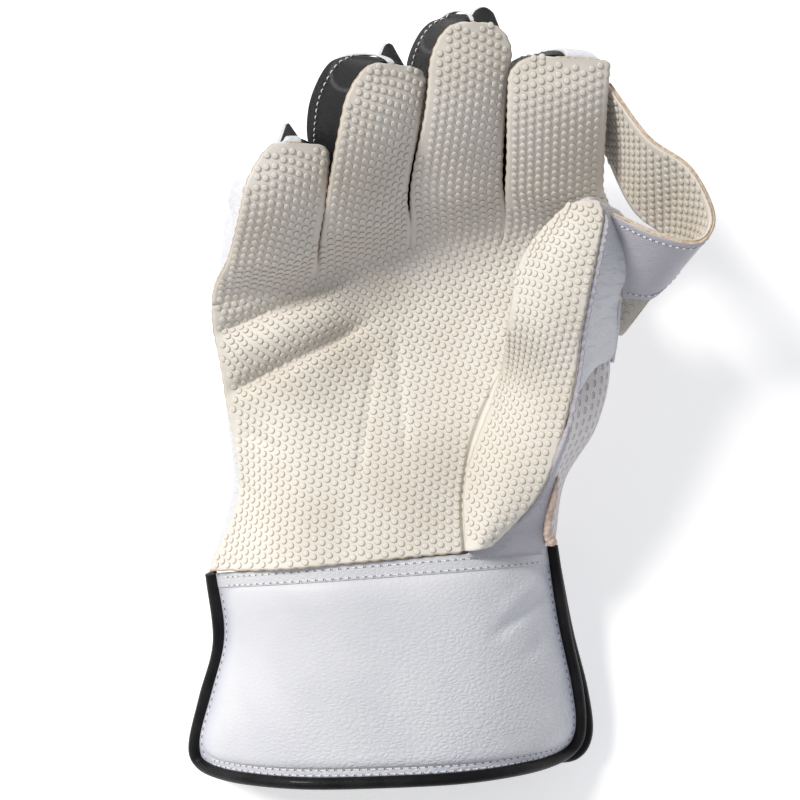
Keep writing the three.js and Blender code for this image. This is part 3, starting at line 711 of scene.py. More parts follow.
def rubber_edge_material():
    material, n, shader = new_material("cut_rubber_edge", (0.5, 0.38, 0.27), 0.8)
    where = object_coords(n)
    layers = n.noise(where, 700, 4)
    tint = n.ramp(layers, [(0.35, (0.42, 0.31, 0.21)), (0.65, (0.66, 0.55, 0.43))])
    n.link(tint, shader.inputs["Base Color"])
    n.link(n.bump(layers, 0.0004, 0.8), shader.inputs["Normal"])
    return material


def grain_group():
    """Leather grain: pebbled cells with fine creases; gives a height"""
    tree = bpy.data.node_groups.new("leather_grain", "ShaderNodeTree")
    tree.interface.new_socket("Vector", in_out="INPUT", socket_type="NodeSocketVector")
    tree.interface.new_socket("Cells", in_out="INPUT", socket_type="NodeSocketFloat")
    tree.interface.new_socket("Height", in_out="OUTPUT", socket_type="NodeSocketFloat")
    n = Nodes(tree)
    entry = n.add("NodeGroupInput")
    leave = n.add("NodeGroupOutput")
    drawn = n.add("ShaderNodeMapping")
    drawn.inputs["Rotation"].default_value = (0, 0, 0.3)
    drawn.inputs["Scale"].default_value = (0.72, 1.3, 1.0)
    n.link(entry.outputs["Vector"], drawn.inputs["Vector"])
    warp = n.add("ShaderNodeTexNoise")
    warp.inputs["Scale"].default_value = 300
    n.link(entry.outputs["Vector"], warp.inputs["Vector"])
    mixer = n.add("ShaderNodeMix", data_type="VECTOR")
    mixer.inputs[0].default_value = 0.0009
    n.link(drawn.outputs["Vector"], mixer.inputs[4])
    n.link(warp.outputs["Color"], mixer.inputs[5])
    cells = n.add("ShaderNodeTexVoronoi", feature="DISTANCE_TO_EDGE")
    n.link(mixer.outputs[1], cells.inputs["Vector"])
    n.link(entry.outputs["Cells"], cells.inputs["Scale"])
    rounded = n.math("MINIMUM", n.math("MULTIPLY", cells.outputs["Distance"], 2.6), 1.0)
    fine = n.noise(entry.outputs["Vector"], 1800, 3, 0.6)
    total = n.math("ADD", n.math("POWER", rounded, 0.8), n.math("MULTIPLY", fine, 0.3))
    n.link(total, leave.inputs["Height"])
    return tree


GRAIN = grain_group()


def add_grain(n, where, cells):
    node = n.add("ShaderNodeGroup")
    node.node_tree = GRAIN
    node.inputs["Cells"].default_value = cells
    n.link(where, node.inputs["Vector"])
    return node.outputs["Height"]


WHITE = dict(light=(0.64, 0.65, 0.685), shade=(0.58, 0.59, 0.635))
# Painted shade: SHADED_WHITE is the white leather made darker for pieces that lie in shade
SHADED_WHITE = dict(light=(0.46, 0.45, 0.50), shade=(0.41, 0.40, 0.45))
# Painted shade, bluish, where the padded front rolls down to its sides and its lower edge
RIM_SHADE_TINT = (0.84, 0.86, 0.96)

# Grain of the padded front: it fades towards the upper left, by factors of x and y in metres
GRAIN_FADE = dict(x=7.0, y=-8.0, offset=-0.05, least=0.2)

# Slots of the perforated leather in millimetres, each row shifted by a share of the pitch along it
SLOTS = dict(along=5.4, across=4.2, shift=0.38, half_length=0.7, sharpness=2.2)


def rim_shade_mask(n, size):
    """Where shade is painted: 0 over the middle of a piece, 1 at its sides and its lower edge, by a UV map in
    millimetres
    """
    flat = n.split(n.add("ShaderNodeTexCoord").outputs["UV"])
    beside = n.math("ABSOLUTE", n.math("MULTIPLY_ADD", flat["Y"], 2 / size[1], -1.0))
    below = n.math("DIVIDE", flat["X"], size[0])
    return n.math("MAXIMUM", beside, below)


def white_leather_material(name, cells, grain, wrinkle=0.0, tones=WHITE, edges=None):
    material, n, shader = new_material(name, tones["light"], 0.46, sheen=0.08)
    where = object_coords(n)
    broad = n.noise(where, 30, 4, 0.5)
    tint = n.ramp(broad, [(0.3, tones["shade"]), (0.6, tones["light"])])
    # Painted shade: the sides and the lower edge of the piece turn darker and bluish
    if edges:
        rim = n.ramp(rim_shade_mask(n, edges), [(0.90, (1, 1, 1)), (0.985, RIM_SHADE_TINT)])
        tint = n.mix(1.0, tint, rim, "MULTIPLY")
    n.link(tint, shader.inputs["Base Color"])
    height = add_grain(n, where, cells)
    if edges:
        at = n.split(where)
        fade = n.math("MULTIPLY_ADD", at["Y"], GRAIN_FADE["y"], GRAIN_FADE["offset"])
        fade = n.math("MULTIPLY_ADD", at["X"], GRAIN_FADE["x"], fade)
        height = n.math("MULTIPLY", height, n.clamp(fade, GRAIN_FADE["least"]))
    n.link(n.math("MULTIPLY_ADD", height, -0.08, 0.56), shader.inputs["Roughness"])
    normal = n.bump(height, grain)
    if wrinkle:
        stretched = n.add("ShaderNodeMapping")
        stretched.inputs["Scale"].default_value = (1.0, 2.4, 1.0)
        n.link(where, stretched.inputs["Vector"])
        normal = n.bump(n.noise(stretched.outputs["Vector"], 130, 3, 0.5, 0.6), wrinkle, normal=normal)
    n.link(normal, shader.inputs["Normal"])
    return material


def perforated_material():
    """White leather with slanted rows of small slots, laid out in millimetres on the UV map; the slots are
    darkened with painted shade
    """
    material, n, shader = new_material("perforated_leather", (0.78, 0.76, 0.79), 0.5, sheen=0.08)
    where = object_coords(n)
    flat = n.split(n.add("ShaderNodeTexCoord").outputs["UV"])
    along = n.math("DIVIDE", flat["X"], SLOTS["along"])
    across = n.math("DIVIDE", flat["Y"], SLOTS["across"])
    slid = n.math("MULTIPLY_ADD", n.math("FLOOR", across), SLOTS["shift"], along)
    x = n.math("ABSOLUTE", n.math("SUBTRACT", n.math("FRACT", slid), 0.5))
    y = n.math("ABSOLUTE", n.math("SUBTRACT", n.math("FRACT", across), 0.5))
    beyond = n.math("SUBTRACT", n.math("MULTIPLY", x, SLOTS["along"]), SLOTS["half_length"])
    beyond = n.math("MAXIMUM", beyond, 0.0)
    down = n.math("MULTIPLY", y, SLOTS["across"])
    squares = n.math("ADD", n.math("MULTIPLY", beyond, beyond), n.math("MULTIPLY", down, down))
    distance = n.math("SQRT", squares)
    depth = n.clamp(n.math("MULTIPLY", n.math("SUBTRACT", 1.0, distance), SLOTS["sharpness"]))
    # Painted shade: the slots are darker, for the shade inside the holes
    tint = n.ramp(depth, [(0.0, (0.60, 0.575, 0.59)), (1.0, (0.46, 0.425, 0.43))])
    n.link(tint, shader.inputs["Base Color"])
    height = add_grain(n, where, 700)
    fine = n.bump(height, 0.00012)
    n.link(n.bump(n.math("MULTIPLY", depth, -1.0), 0.0005, normal=fine), shader.inputs["Normal"])
    return material


# Pale arcs painted on the black walls, partly a painted highlight along a crease and partly wear from
# rubbing: middle in plan and radius
HIGHLIGHT_AND_WEAR_ARCS = [dict(middle=(-17.3, 118.2), radius=7.8), dict(middle=(13.6, 130.0), radius=5.8)]
ARC_WIDTH = 1.1
ARC_FADE = 4.0
HIGHLIGHT_AND_WEAR = (0.11, 0.11, 0.115, 1)


def highlight_and_wear_mask(n, where, middle, radius):
    """1 along the lower left of a circle in plan, 0 away from it"""
    x_middle, y_middle, _ = place((*middle, 0.0))
    at = n.split(where)
    x = n.math("SUBTRACT", at["X"], x_middle)
    y = n.math("SUBTRACT", at["Y"], y_middle)
    distance = n.math("SQRT", n.math("ADD", n.math("MULTIPLY", x, x), n.math("MULTIPLY", y, y)))
    off = n.math("ABSOLUTE", n.math("SUBTRACT", distance, radius * MM))
    band = n.math("MAXIMUM", n.math("MULTIPLY_ADD", off, -1 / (ARC_WIDTH * MM), 1.0), 0.0)
    lower_left = n.math("MULTIPLY", n.math("ADD", x, y), -1 / (ARC_FADE * MM))
    return n.math("MULTIPLY", band, n.clamp(lower_left))


def black_leather_material(name, roughness, grain, coat=0.0, arcs=()):
    material, n, shader = new_material(name, (0.008, 0.008, 0.009), roughness, specular=0.1, coat=coat)
    where = object_coords(n)
    scuffs = n.noise(where, 60, 5, 0.6)
    tint = n.ramp(scuffs, [(0.45, (0.007, 0.007, 0.008)), (0.8, (0.020, 0.020, 0.020))])
    # Pale arcs: painted highlight along a crease, with wear from rubbing
    for arc in arcs:
        share = n.math("MULTIPLY", highlight_and_wear_mask(n, where, **arc), n.noise(where, 700, 4))
        tint = n.mix(share, tint, HIGHLIGHT_AND_WEAR)
    n.link(tint, shader.inputs["Base Color"])
    worn = n.ramp(scuffs, [(0.3, (roughness,) * 3), (0.8, (roughness + 0.18,) * 3)])
    n.link(worn, shader.inputs["Roughness"])
    n.link(n.bump(add_grain(n, where, 1100), grain), shader.inputs["Normal"])
    return material


def plain_material(name, colour, roughness, scale=600, depth=0.0003, vary=0.12):
    material, n, shader = new_material(name, colour, roughness)
    where = object_coords(n)
    speckle = n.noise(where, scale, 4)
    dark = tuple(c * (1 - vary) for c in colour)
    pale = tuple(min(c * (1 + vary), 1) for c in colour)
    n.link(n.ramp(speckle, [(0.35, dark), (0.65, pale)]), shader.inputs["Base Color"])
    n.link(n.bump(speckle, depth), shader.inputs["Normal"])
    return material


RUBBER = rubber_material()
RUBBER_EDGE = rubber_edge_material()
SMOOTH_LEATHER = white_leather_material("smooth_white_leather", 900, 0.00012, 0.0012)
CUFF_LEATHER = white_leather_material("pebbled_white_leather", 600, 0.00013)
# The padded front's leather has painted shade along its sides and its lower edge
CUFF_FRONT_LEATHER = white_leather_material("padded_white_leather", 500, 0.00022, edges=CUFF_FLAT)
# Painted shade: a darker copy of the white leather, for the web's outer side, the thumb's leather edge and
# the wrist gusset
SHADE_PAINTED_LEATHER = white_leather_material("shaded_white_leather", 900, 0.00012, 0.0004, SHADED_WHITE)
PERFORATED = perforated_material()
BLACK_LEATHER = black_leather_material("black_leather", 0.5, 0.00016, coat=0.03, arcs=HIGHLIGHT_AND_WEAR_ARCS)
BINDING_LEATHER = black_leather_material("black_satin_binding", 0.32, 0.00008, coat=0.08)
THREAD = plain_material("white_thread", (0.80, 0.79, 0.78), 0.7)
# Painted shade: the dark of the needle holes
STITCH_HOLE_SHADE = plain_material("stitch_hole_shade", (0.10, 0.09, 0.10), 0.8)
LINING = plain_material("towelling_lining", (0.62, 0.58, 0.53), 0.9, 900, 0.0006)
BLUSH = plain_material("blush_suede", (0.60, 0.47, 0.40), 0.9, 420, 0.0009, 0.25)
FOLD_SHADE = plain_material("painted_fold_shade", (0.15, 0.09, 0.08), 0.9)


def dress(piece, node=None):
    """Piece rides on the glove and stands for a node of the solids"""
    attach(piece, "root")
    if node:
        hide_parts(node)
    return piece


# Stitches, a row for each ring of a stitch: share of its half length, size and rise
STITCH_RINGS = np.array([
    [-1.0, 0.35, -1.3], [-0.8, 0.85, -0.3], [-0.35, 1.0, 0.35], [0.35, 1.0, 0.35], [0.8, 0.85, -0.3],
    [1.0, 0.35, -1.3],
])
STITCH_SIDES = 6
HOLE_SIDES = 8


def stitch_body(length, radius):
    """One thread stitch along x that dips into the leather at its ends"""
    ends, size, dip = STITCH_RINGS.T
    points, faces = turned(list(zip(size * radius, ends * length / 2)), STITCH_SIDES)
    points = points[:, [2, 0, 1]]
    points[:, 2] += np.interp(points[:, 0], ends * length / 2, dip * radius)
    return points, faces


def add_stitches(name, points, outward, pitch, length, radius, lift, hole):
    """Row of thread stitches along a line of points; outward is the surface normal at each, hole the radius
    of the needle holes at the ends of each stitch, whose dark is painted shade"""
    run = np.concatenate([[0], np.cumsum(np.linalg.norm(np.diff(points, axis=0), axis=1))])
    count = max(int(run[-1] / pitch), 1)
    stops = (np.arange(count) + 0.5) * run[-1] / count
    at = lambda values, s: np.stack([np.interp(s, run, values[:, k]) for k in range(3)], axis=-1)
    centre = at(points, stops)
    along = unit(at(points, stops + 0.4 * pitch) - at(points, stops - 0.4 * pitch))
    up = unit(at(outward, stops))
    across = unit(np.cross(up, along))
    body, faces = stitch_body(length, radius)
    dress(scatter(name, body, faces, centre + up * lift, (along, across, up), [THREAD]))
    if hole:
        dot, dot_faces = turned([(hole, -0.1), (0.8 * hole, 0.1), (0.0, 0.12)], HOLE_SIDES)
        ends = np.concatenate([centre - along * length / 2, centre + along * length / 2])
        axes = [np.concatenate([axis, axis]) for axis in (along, across, up)]
        dress(scatter(name + "_holes", dot, dot_faces, ends, axes, [STITCH_HOLE_SHADE]))


def surface_line(point_at, us, vs):
    """Points and outward normals of a line drawn on a surface"""
    us, vs = np.asarray(us, float), np.asarray(vs, float)
    return point_at(us, vs), normals_at(point_at, us, vs)


def add_tube(name, points, radius, sides, steps, materials, swell=None):
    """Round cord swept through points, narrow at its two ends; swell changes its radius along and round it"""
    line = spline(points, np.linspace(0, 1, steps + 1))
    tangent = unit(np.gradient(line, axis=0))
    side = np.zeros_like(line)
    guide = UP
    for k, direction in enumerate(tangent):
        guide = unit(guide - direction * np.dot(guide, direction))
        side[k] = guide
    cross = np.cross(tangent, side)
    size = radius * np.concatenate([[0.25, 0.75], np.ones(steps - 3), [0.75, 0.25]])

    def surface(u, v):
        k = np.rint(v * steps).astype(int)
        turn = 2 * PI * u
        reach = size[k] * (1 + swell(v, turn)) if swell else size[k]
        round_it = side[k] * np.cos(turn)[:, None] + cross[k] * np.sin(turn)[:, None]
        return line[k] + round_it * reach[:, None]
    bm = bmesh.new()
    add_patch(bm, sides, steps, surface)
    bmesh.ops.remove_doubles(bm, verts=bm.verts, dist=WELD * MM)
    bmesh.ops.holes_fill(bm, edges=bm.edges)
    return finish_mesh(bm, name, materials)


def add_edge_line(name, surface, us, vs, steps=220, radius=EDGE_LINE):
    """Raw brown line where the cut edge of a rubber sheet shows"""
    points, outward = surface_line(surface, us, vs)
    return dress(add_tube(name, points - outward * EDGE_LINE_SINK, radius, 6, steps, [RUBBER_EDGE]))


def round_end(first_left, first_right):
    """u, v up the left side of a sheet, across its end and down its right side"""
    left, right = np.linspace(first_left, 1, 60), np.linspace(1, first_right, 60)
    turn = np.linspace(0, 1, 24)[1:-1]
    us = np.concatenate([np.zeros(60), turn, np.ones(60)])
    return us, np.concatenate([left, np.ones(22), right])


# Palm and finger faces
def finger_surface(name):
    return lambda u, v: finger_face_point(name, u, np.clip(v, 0, 1))


def make_palm():
    bm = bmesh.new()
    add_patch(bm, 112, 120, palm_point)
    for name in FINGER_NAMES:
        surface = finger_surface(name)
        add_patch(bm, 28, 64, lambda u, v, surface=surface: surface(u, tipward(v)))
    sheet = finish_mesh(bm, "palm_rubber", [RUBBER, RUBBER_EDGE, LINING])
    thicken(sheet, FACING, rim=1, inner=2)
    dress(sheet, "palm_facing")
    down, right = np.linspace(0.98, 0, 90), np.linspace(0, 1, 90)[1:]
    us, vs = np.concatenate([0 * down, right]), np.concatenate([down, 0 * right])
    add_edge_line("palm_edge", palm_point, us, vs, steps=420)
    for name in FINGER_NAMES:
        add_edge_line(name + "_edge", finger_surface(name), *round_end(0.16, 0.16))


def make_palm_studs():
    spots, (u, palm_a, palm_b) = lattice(palm_point, 0.0, 0.0, STUD_ROOM["palm"])
    add_studs("palm_pimples", spots, palm_point)
    for column, name in enumerate(FINGER_NAMES):
        middle = np.interp((column + 0.5) / 4, u, palm_a[-1])
        start = np.interp((column + u) / 4, u, palm_b[-1])
        surface = finger_surface(name)
        spots, _ = lattice(surface, middle, start, STUD_ROOM["finger"], root=STUD_ROOM_ROOT)
        add_studs(name + "_pimples", spots, surface)


def thumb_surface(u, v):
    return face_point(DIGITS["thumb"], u, np.clip(v, 0, 1))


THUMB_CREASE = dict(palm_to=0.71, sink=1.6)


def make_thumb_crease():
    """Rubber that runs on from the palm under the edge of the thumb's face"""
    thumb = DIGITS["thumb"]
    stations = np.linspace(0, 0.6, 121)
    edge = face_point(thumb, np.zeros_like(stations), stations)

    def surface(u, v):
        along = THUMB_CREASE["palm_to"] * v
        palm = palm_point(np.ones_like(u), along)
        t = np.interp(palm[..., 1], edge[:, 1], stations)
        mound = face_point(thumb, np.full_like(t, 0.03), t) - UP * 0.8
        p = mix(palm, mound, u)
        p[..., 2] -= THUMB_CREASE["sink"] * 4 * u * (1 - u)
        return p
    bm = bmesh.new()
    add_patch(bm, 8, 80, surface)
    crease = finish_mesh(bm, "thumb_crease_rubber", [RUBBER])
    thicken(crease, 1.6)
    return dress(crease)


def make_thumb_face():
    bm = bmesh.new()
    add_patch(bm, 36, 150, thumb_surface)
    sheet = finish_mesh(bm, "thumb_rubber", [RUBBER, RUBBER_EDGE, LINING])
    thicken(sheet, FACING, rim=1, inner=2)
    dress(sheet, "thumb_facing")
    spots, _ = lattice(thumb_surface, 0.0, 0.0, STUD_ROOM["thumb"])
    add_studs("thumb_pimples", spots, thumb_surface)
    add_edge_line("thumb_edge", thumb_surface, *round_end(0.22, 0.01), steps=360)


def make_thumb_lip():
    """Scalloped leather edge that shows beside the thumb's face"""
    thumb, lip = DIGITS["thumb"], THUMB_LIP

    def surface(u, v):
        t = lip["start"] + (lip["end"] - lip["start"]) * v
        f = digit_frame(thumb, t)
        scallop = lip["scallop"] * np.sin(t * thumb["waves"] * EDGE_WAVE["length"] / lip["length"])
        out = (lip["wide"] + scallop) * smooth(v / 0.06) * smooth((1 - v) / 0.1) * u
        below = lip["below"] + lip["drop"] * u
        edge = face_point(thumb, np.ones_like(t), t)
        return edge + f["side"] * out[..., None] - f["up"] * below[..., None]
    bm = bmesh.new()
    add_patch(bm, 4, 120, surface)
    strip = finish_mesh(bm, "thumb_leather_edge", [SHADE_PAINTED_LEATHER])
    thicken(strip, 0.8)
    return dress(strip)


# Leather backs and black side walls
def side_point(digit, side):
    """Side wall as a surface over a share of its depth and the station along the digit"""
    return lambda depth, t, **shape: shell_point(digit, t, np.full_like(t, float(side)), PI * depth, **shape)


def add_wall(bm, digit, steps, side, start=None, **shape):
    """Side wall of a digit; start gives its first station for a share of the depth"""
    wall = side_point(digit, side)

    def surface(u, v):
        depth = v if side < 0 else 1 - v
        first = start(depth) if start else 0.0
        return wall(depth, first + (1 - first) * tipward(u), **shape)
    add_patch(bm, steps, 8, surface)


def strip_share(angle):
    """How far across the tip the leather of the back reaches between the black corners"""
    return 0.35 + 0.65 * smooth((angle - 1.3) / 1.8)


BACK_STEPS = 14


def make_back(name, left_wall=False, right_wall=False, start=None):
    """Leather back of a digit with its rounded end, and the side walls cut in one with it"""
    digit, node = DIGITS[name], name + "_back"
    pad = dict(pad=BACK_PAD)
    first = start(np.ones(1))[0] if start else 0.0
    bm = bmesh.new()
    if left_wall:
        add_wall(bm, digit, BACK_STEPS, -1, start, **pad)
    station = lambda u: first + (1 - first) * tipward(u)
    back_at = lambda u, v: end_point(digit, station(u), 2 * v - 1, np.full_like(u, PI), **pad)
    add_patch(bm, BACK_STEPS, 8, back_at)
    if right_wall:
        add_wall(bm, digit, BACK_STEPS, 1, start, **pad)
    low = (lambda a: -np.ones_like(a)) if left_wall else (lambda a: -strip_share(a))
    high = (lambda a: np.ones_like(a)) if right_wall else strip_share

    def nose(u, v):
        angle = PI * (1 - u)
        share = low(angle) + (high(angle) - low(angle)) * v
        return end_point(digit, np.ones_like(u), share, angle, **pad)
    add_patch(bm, 8, 8, nose)
    back = finish_mesh(bm, node + "_leather", [SMOOTH_LEATHER, LINING])
    thicken(back, BACK_PAD - 0.6, inner=1)
    subdivide(back, 2)
    return dress(back, node)


def thumb_leather_start(depth):
    """First station of the thumb's leather for a share of its wall's depth"""
    first, last = THUMB_LEATHER["beside_face"], THUMB_LEATHER["outer_side"]
    return first + (last - first) * smooth(depth / 0.55)


FOURCHETTE = dict(pad=1.6, out=0.25)
CROTCH_SLOPE = 0.5


def make_fourchette(left_name, right_name):
    """Black walls of two fingers that face each other, joined by a crotch that slopes forward"""
    node = f"{left_name}_{right_name}_fourchette"
    left, right = DIGITS[left_name], DIGITS[right_name]
    bm = bmesh.new()
    add_wall(bm, left, 18, 1, **FOURCHETTE)
    add_wall(bm, right, 18, -1, **FOURCHETTE)

    def corner(digit, side):
        def point(u, v):
            angle = PI * (1 - u)
            start = np.minimum(strip_share(angle), 1)
            share = start + (1 - start) * v if side > 0 else -1 + (1 - start) * v
            return end_point(digit, np.ones_like(u), share, angle, **FOURCHETTE)
        return point
    add_patch(bm, 8, 4, corner(left, 1))
    add_patch(bm, 8, 4, corner(right, -1))

    def crotch(u, v):
        t = CROTCH_SLOPE * smooth(v * 1.3)
        one = np.ones_like(u)
        from_left = shell_point(left, t, one, PI * v, **FOURCHETTE)
        return mix(from_left, shell_point(right, t, -one, PI * v, **FOURCHETTE), u)
    add_patch(bm, 3, 12, crotch)
    wall = finish_mesh(bm, node + "_leather", [BLACK_LEATHER, LINING])
    thicken(wall, SIDE_WALL, inner=1)
    subdivide(wall, 2)
    return dress(wall, node)


EAR_CURL = 1.4
EAR_CREST = 0.26
EAR_LAYERS = [
    ("ear", BLACK_LEATHER, "black_leather", (0.0, 0.0, 0.0)),
    ("ear_backing", SMOOTH_LEATHER, "white_leather", (-1.3, 0.3, -1.5)),
]


def make_ears():
    """Black corners past the tips, each with the white leather of the back behind it"""
    for name, corners in EARS.items():
        base_left, base_right, top_right, top_left = np.array(corners, float)

        def flap(u, v):
            low, high = mix(base_left, base_right, u), mix(top_left, top_right, u)
            arch = EAR_CURL * np.sin(PI * u) * (1 - 0.6 * v)
            crest = EAR_CREST * np.linalg.norm(top_right - top_left) * np.sin(PI * u) * v ** 2
            return mix(low, high, v) + np.stack([0 * u, crest, arch], axis=-1)
        for suffix, material, slot, shift in EAR_LAYERS:
            bm = bmesh.new()
            add_patch(bm, 10, 10, lambda u, v: flap(u, v) + np.array(shift))
            piece = finish_mesh(bm, f"{name}_{suffix}", [material])
            thicken(piece, SIDE_WALL)
            subdivide(piece, 1)
            dress(piece)


STITCHED_WALLS = [("ring", -1), ("middle", -1), ("index", -1), ("little", 1), ("ring", 1), ("middle", 1)]


def make_wall_stitches():
    """White stitch rows a little in from the outer edge of the black walls, round the corner of the tip"""
    for name, side in STITCHED_WALLS:
        digit = DIGITS[name]
        wall = side_point(digit, side)
        surface = lambda u, v: wall(u, v, **FOURCHETTE)
        t = np.linspace(0.1, 0.995, 80)
        points, outward = surface_line(surface, np.full_like(t, WALL_ROW), t)
        share = np.linspace(1, 0.5, 12)[1:] * side
        angle = np.full_like(share, PI * WALL_ROW)
        corner = end_point(digit, np.ones_like(share), share, angle, **FOURCHETTE)
        ahead = digit_frame(digit, np.ones_like(share))["ahead"]
        points = np.concatenate([points, corner])
        outward = np.concatenate([outward * side, unit(ahead + UP * 0.6)])
        row = f"{name}_{'left' if side < 0 else 'right'}_stitches"
        add_stitches(row, points, outward, **WALL_STITCH)


# Back of the hand
def loft(rows, u, v):
    lines = np.stack([spline(row, v) for row in rows])
    return spline(lines, u)


def back_rows():
    rows = []
    for edge, side, left, right, thumb_side, thumb_edge in BACK_ROWS[:4]:
        floor = [left + (right - left) * n / 4 for n in range(5)]
        rows.append(np.array([edge, side, *floor, thumb_side, thumb_edge], float))
    knuckle = []

    def push(name, share, angle):
        digit = DIGITS[name]
        zero = np.zeros(1)
        p = end_point(digit, zero, zero + share, zero + angle, pad=BACK_PAD)
        knuckle.append(p[0] - digit_frame(digit, zero)["tangent"][0] * KNUCKLE_GAP)
    push("little", -1, 0)
    push("little", -1, PI / 2)
    for name in FINGER_NAMES:
        push(name, -1, PI)
    push("index", 1, PI)
    push("index", 1, PI / 2)
    push("index", 1, 0)
    return rows + [np.array(knuckle)]


HAND_ROWS = back_rows()
BACK_EDGE = BACK_ROWS[:, 5].astype(float)


def hand_back_point(u, v):
    p = loft(HAND_ROWS, u, v)
    p[..., 2] = np.maximum(p[..., 2], 0.0)
    return p


HAND_BACK_FLAT = (130.0, 260.0)
PERFORATED_PAST = dict(x=0.036, z=0.006)


def make_hand_back():
    """Back of the hand, perforated on the thumb's side above the floor"""
    bm = bmesh.new()
    add_patch(bm, 60, 96, hand_back_point, flat=HAND_BACK_FLAT)
    back = finish_mesh(bm, "hand_back_leather", [SMOOTH_LEATHER, LINING, PERFORATED])
    for face in back.data.polygons:
        if face.center.x > PERFORATED_PAST["x"] and face.center.z > PERFORATED_PAST["z"]:
            face.material_index = 2
    thicken(back, BACK_PAD, inner=0)
    return dress(back, "hand_back")


def make_gusset():
    thumb = DIGITS["thumb"]

    def surface(u, v):
        t = GUSSET["end"] * u
        f = digit_frame(thumb, t)
        first, last = GUSSET["under"]
        under = first + (last - first) * smooth(u / 0.2)
        inner = face_point(thumb, under, t) - f["up"] * (FACING + 0.5)
        outer = spline(BACK_EDGE, GUSSET["back_end"] * u) + f["up"] * GUSSET["apart"]
        p = mix(inner, outer, v)
        p[..., 2] += GUSSET["bulge"] * 4 * v * (1 - v)
        p[..., 1] -= GUSSET["down"] * (1 - smooth(u / 0.12))
        return p
    bm = bmesh.new()
    add_patch(bm, 16, 40, lambda u, v: surface(v, 1 - u))
    gusset = finish_mesh(bm, "wrist_gusset_leather", [SHADE_PAINTED_LEATHER])
    thicken(gusset, 1.2)
    dress(gusset, "wrist_gusset")
    # A dark tube along the fold paints the shade in it
    across, along = np.meshgrid(np.linspace(0, 1, 41), np.linspace(0, 1, 81))
    cloud = surface(along.ravel(), across.ravel())
    line = []
    for x, y in GUSSET_FOLD:
        nearest = np.argmin((cloud[:, 0] - x) ** 2 + (cloud[:, 1] - y) ** 2)
        line.append((x, y, cloud[nearest, 2] + GUSSET_FOLD_LINE["lift"]))
    return dress(add_tube("gusset_fold_shade", line, GUSSET_FOLD_LINE["radius"], 8, 60, [FOLD_SHADE]))


def make_wrist_roll():
    """Soft lumpy strip, thin at its upper end and thick at the cuff"""
    def swell(along, turn):
        lumps = 0.07 * np.sin(along * 37 + turn * 3) + 0.1 * along * np.sin(along * 71 - turn * 2)
        return lumps - 0.65 * (1 - smooth(along / 0.4)) + 0.4 * smooth((along - 0.5) / 0.5)
    roll = add_tube("wrist_roll_suede", WRIST_ROLL, WRIST_ROLL_RADIUS, 16, 60, [BLUSH], swell)
    return dress(roll, "wrist_roll")


def make_thumb_join():
    """Leather between the lower end of the thumb's back and the back of the hand"""
    thumb = DIGITS["thumb"]
    start, end = THUMB_JOIN["thumb"]
    low, high = THUMB_JOIN["hand"]

    def surface(u, v):
        one = np.ones_like(u)
        t = start + (end - start) * v
        near = shell_point(thumb, t, one, PI * THUMB_JOIN["turn"] * one, pad=BACK_PAD - 0.8)
        far = hand_back_point(one * THUMB_JOIN["column"], low + (high - low) * v)
        p = mix(near, far, u)
        p[..., 0] -= THUMB_JOIN["sag"] * 4 * u * (1 - u)
        return p
    bm = bmesh.new()
    add_patch(bm, 16, 30, surface)
    join = finish_mesh(bm, "thumb_join_leather", [SMOOTH_LEATHER])
    thicken(join, SIDE_WALL, offset=0)
    return dress(join)


def flat_size(point_at):
    """Width and length that a sheet is cut to, in metres, from its mean lengths across and along"""
    u, v = np.meshgrid(np.linspace(0, 1, 25), np.linspace(0, 1, 91), indexing="ij")
    points = point_at(u, v)
    width = np.linalg.norm(np.diff(points, axis=0), axis=2).sum(axis=0).mean()
    length = np.linalg.norm(np.diff(points, axis=1), axis=2).sum(axis=1).mean()
    return width * MM, length * MM


# Catch web
def web_rims():
    def seam(name, edge):
        t, turn = WEB_SEAMS[name][edge]
        digit = DIGITS[name]
        one = np.ones(1)
        p = shell_point(digit, one * t, one, one * PI * turn, pad=BACK_PAD)
        return (p + digit_frame(digit, one * t)["side"] * WEB_SEAMS[name]["apart"])[0]
    rims = []
    for edge, first in (("upper", 0), ("lower", 3)):
        between = [np.array(row[first:first + 3], float) for row in WEB_ROWS]
        rims.append(np.array([seam("index", edge), *between, seam("thumb", edge)]))
    return rims


WEB_UPPER, WEB_LOWER = web_rims()


def web_point(u, v):
    """u from the upper rim to the lower, v along the rims"""
    return mix(spline(WEB_UPPER, v), spline(WEB_LOWER, v), u)


def web_layer_point(u, v, layer):
    up = normals_at(web_point, u, np.clip(v, 2e-3, 1 - 2e-3))
    return web_point(u, v) - up * layer


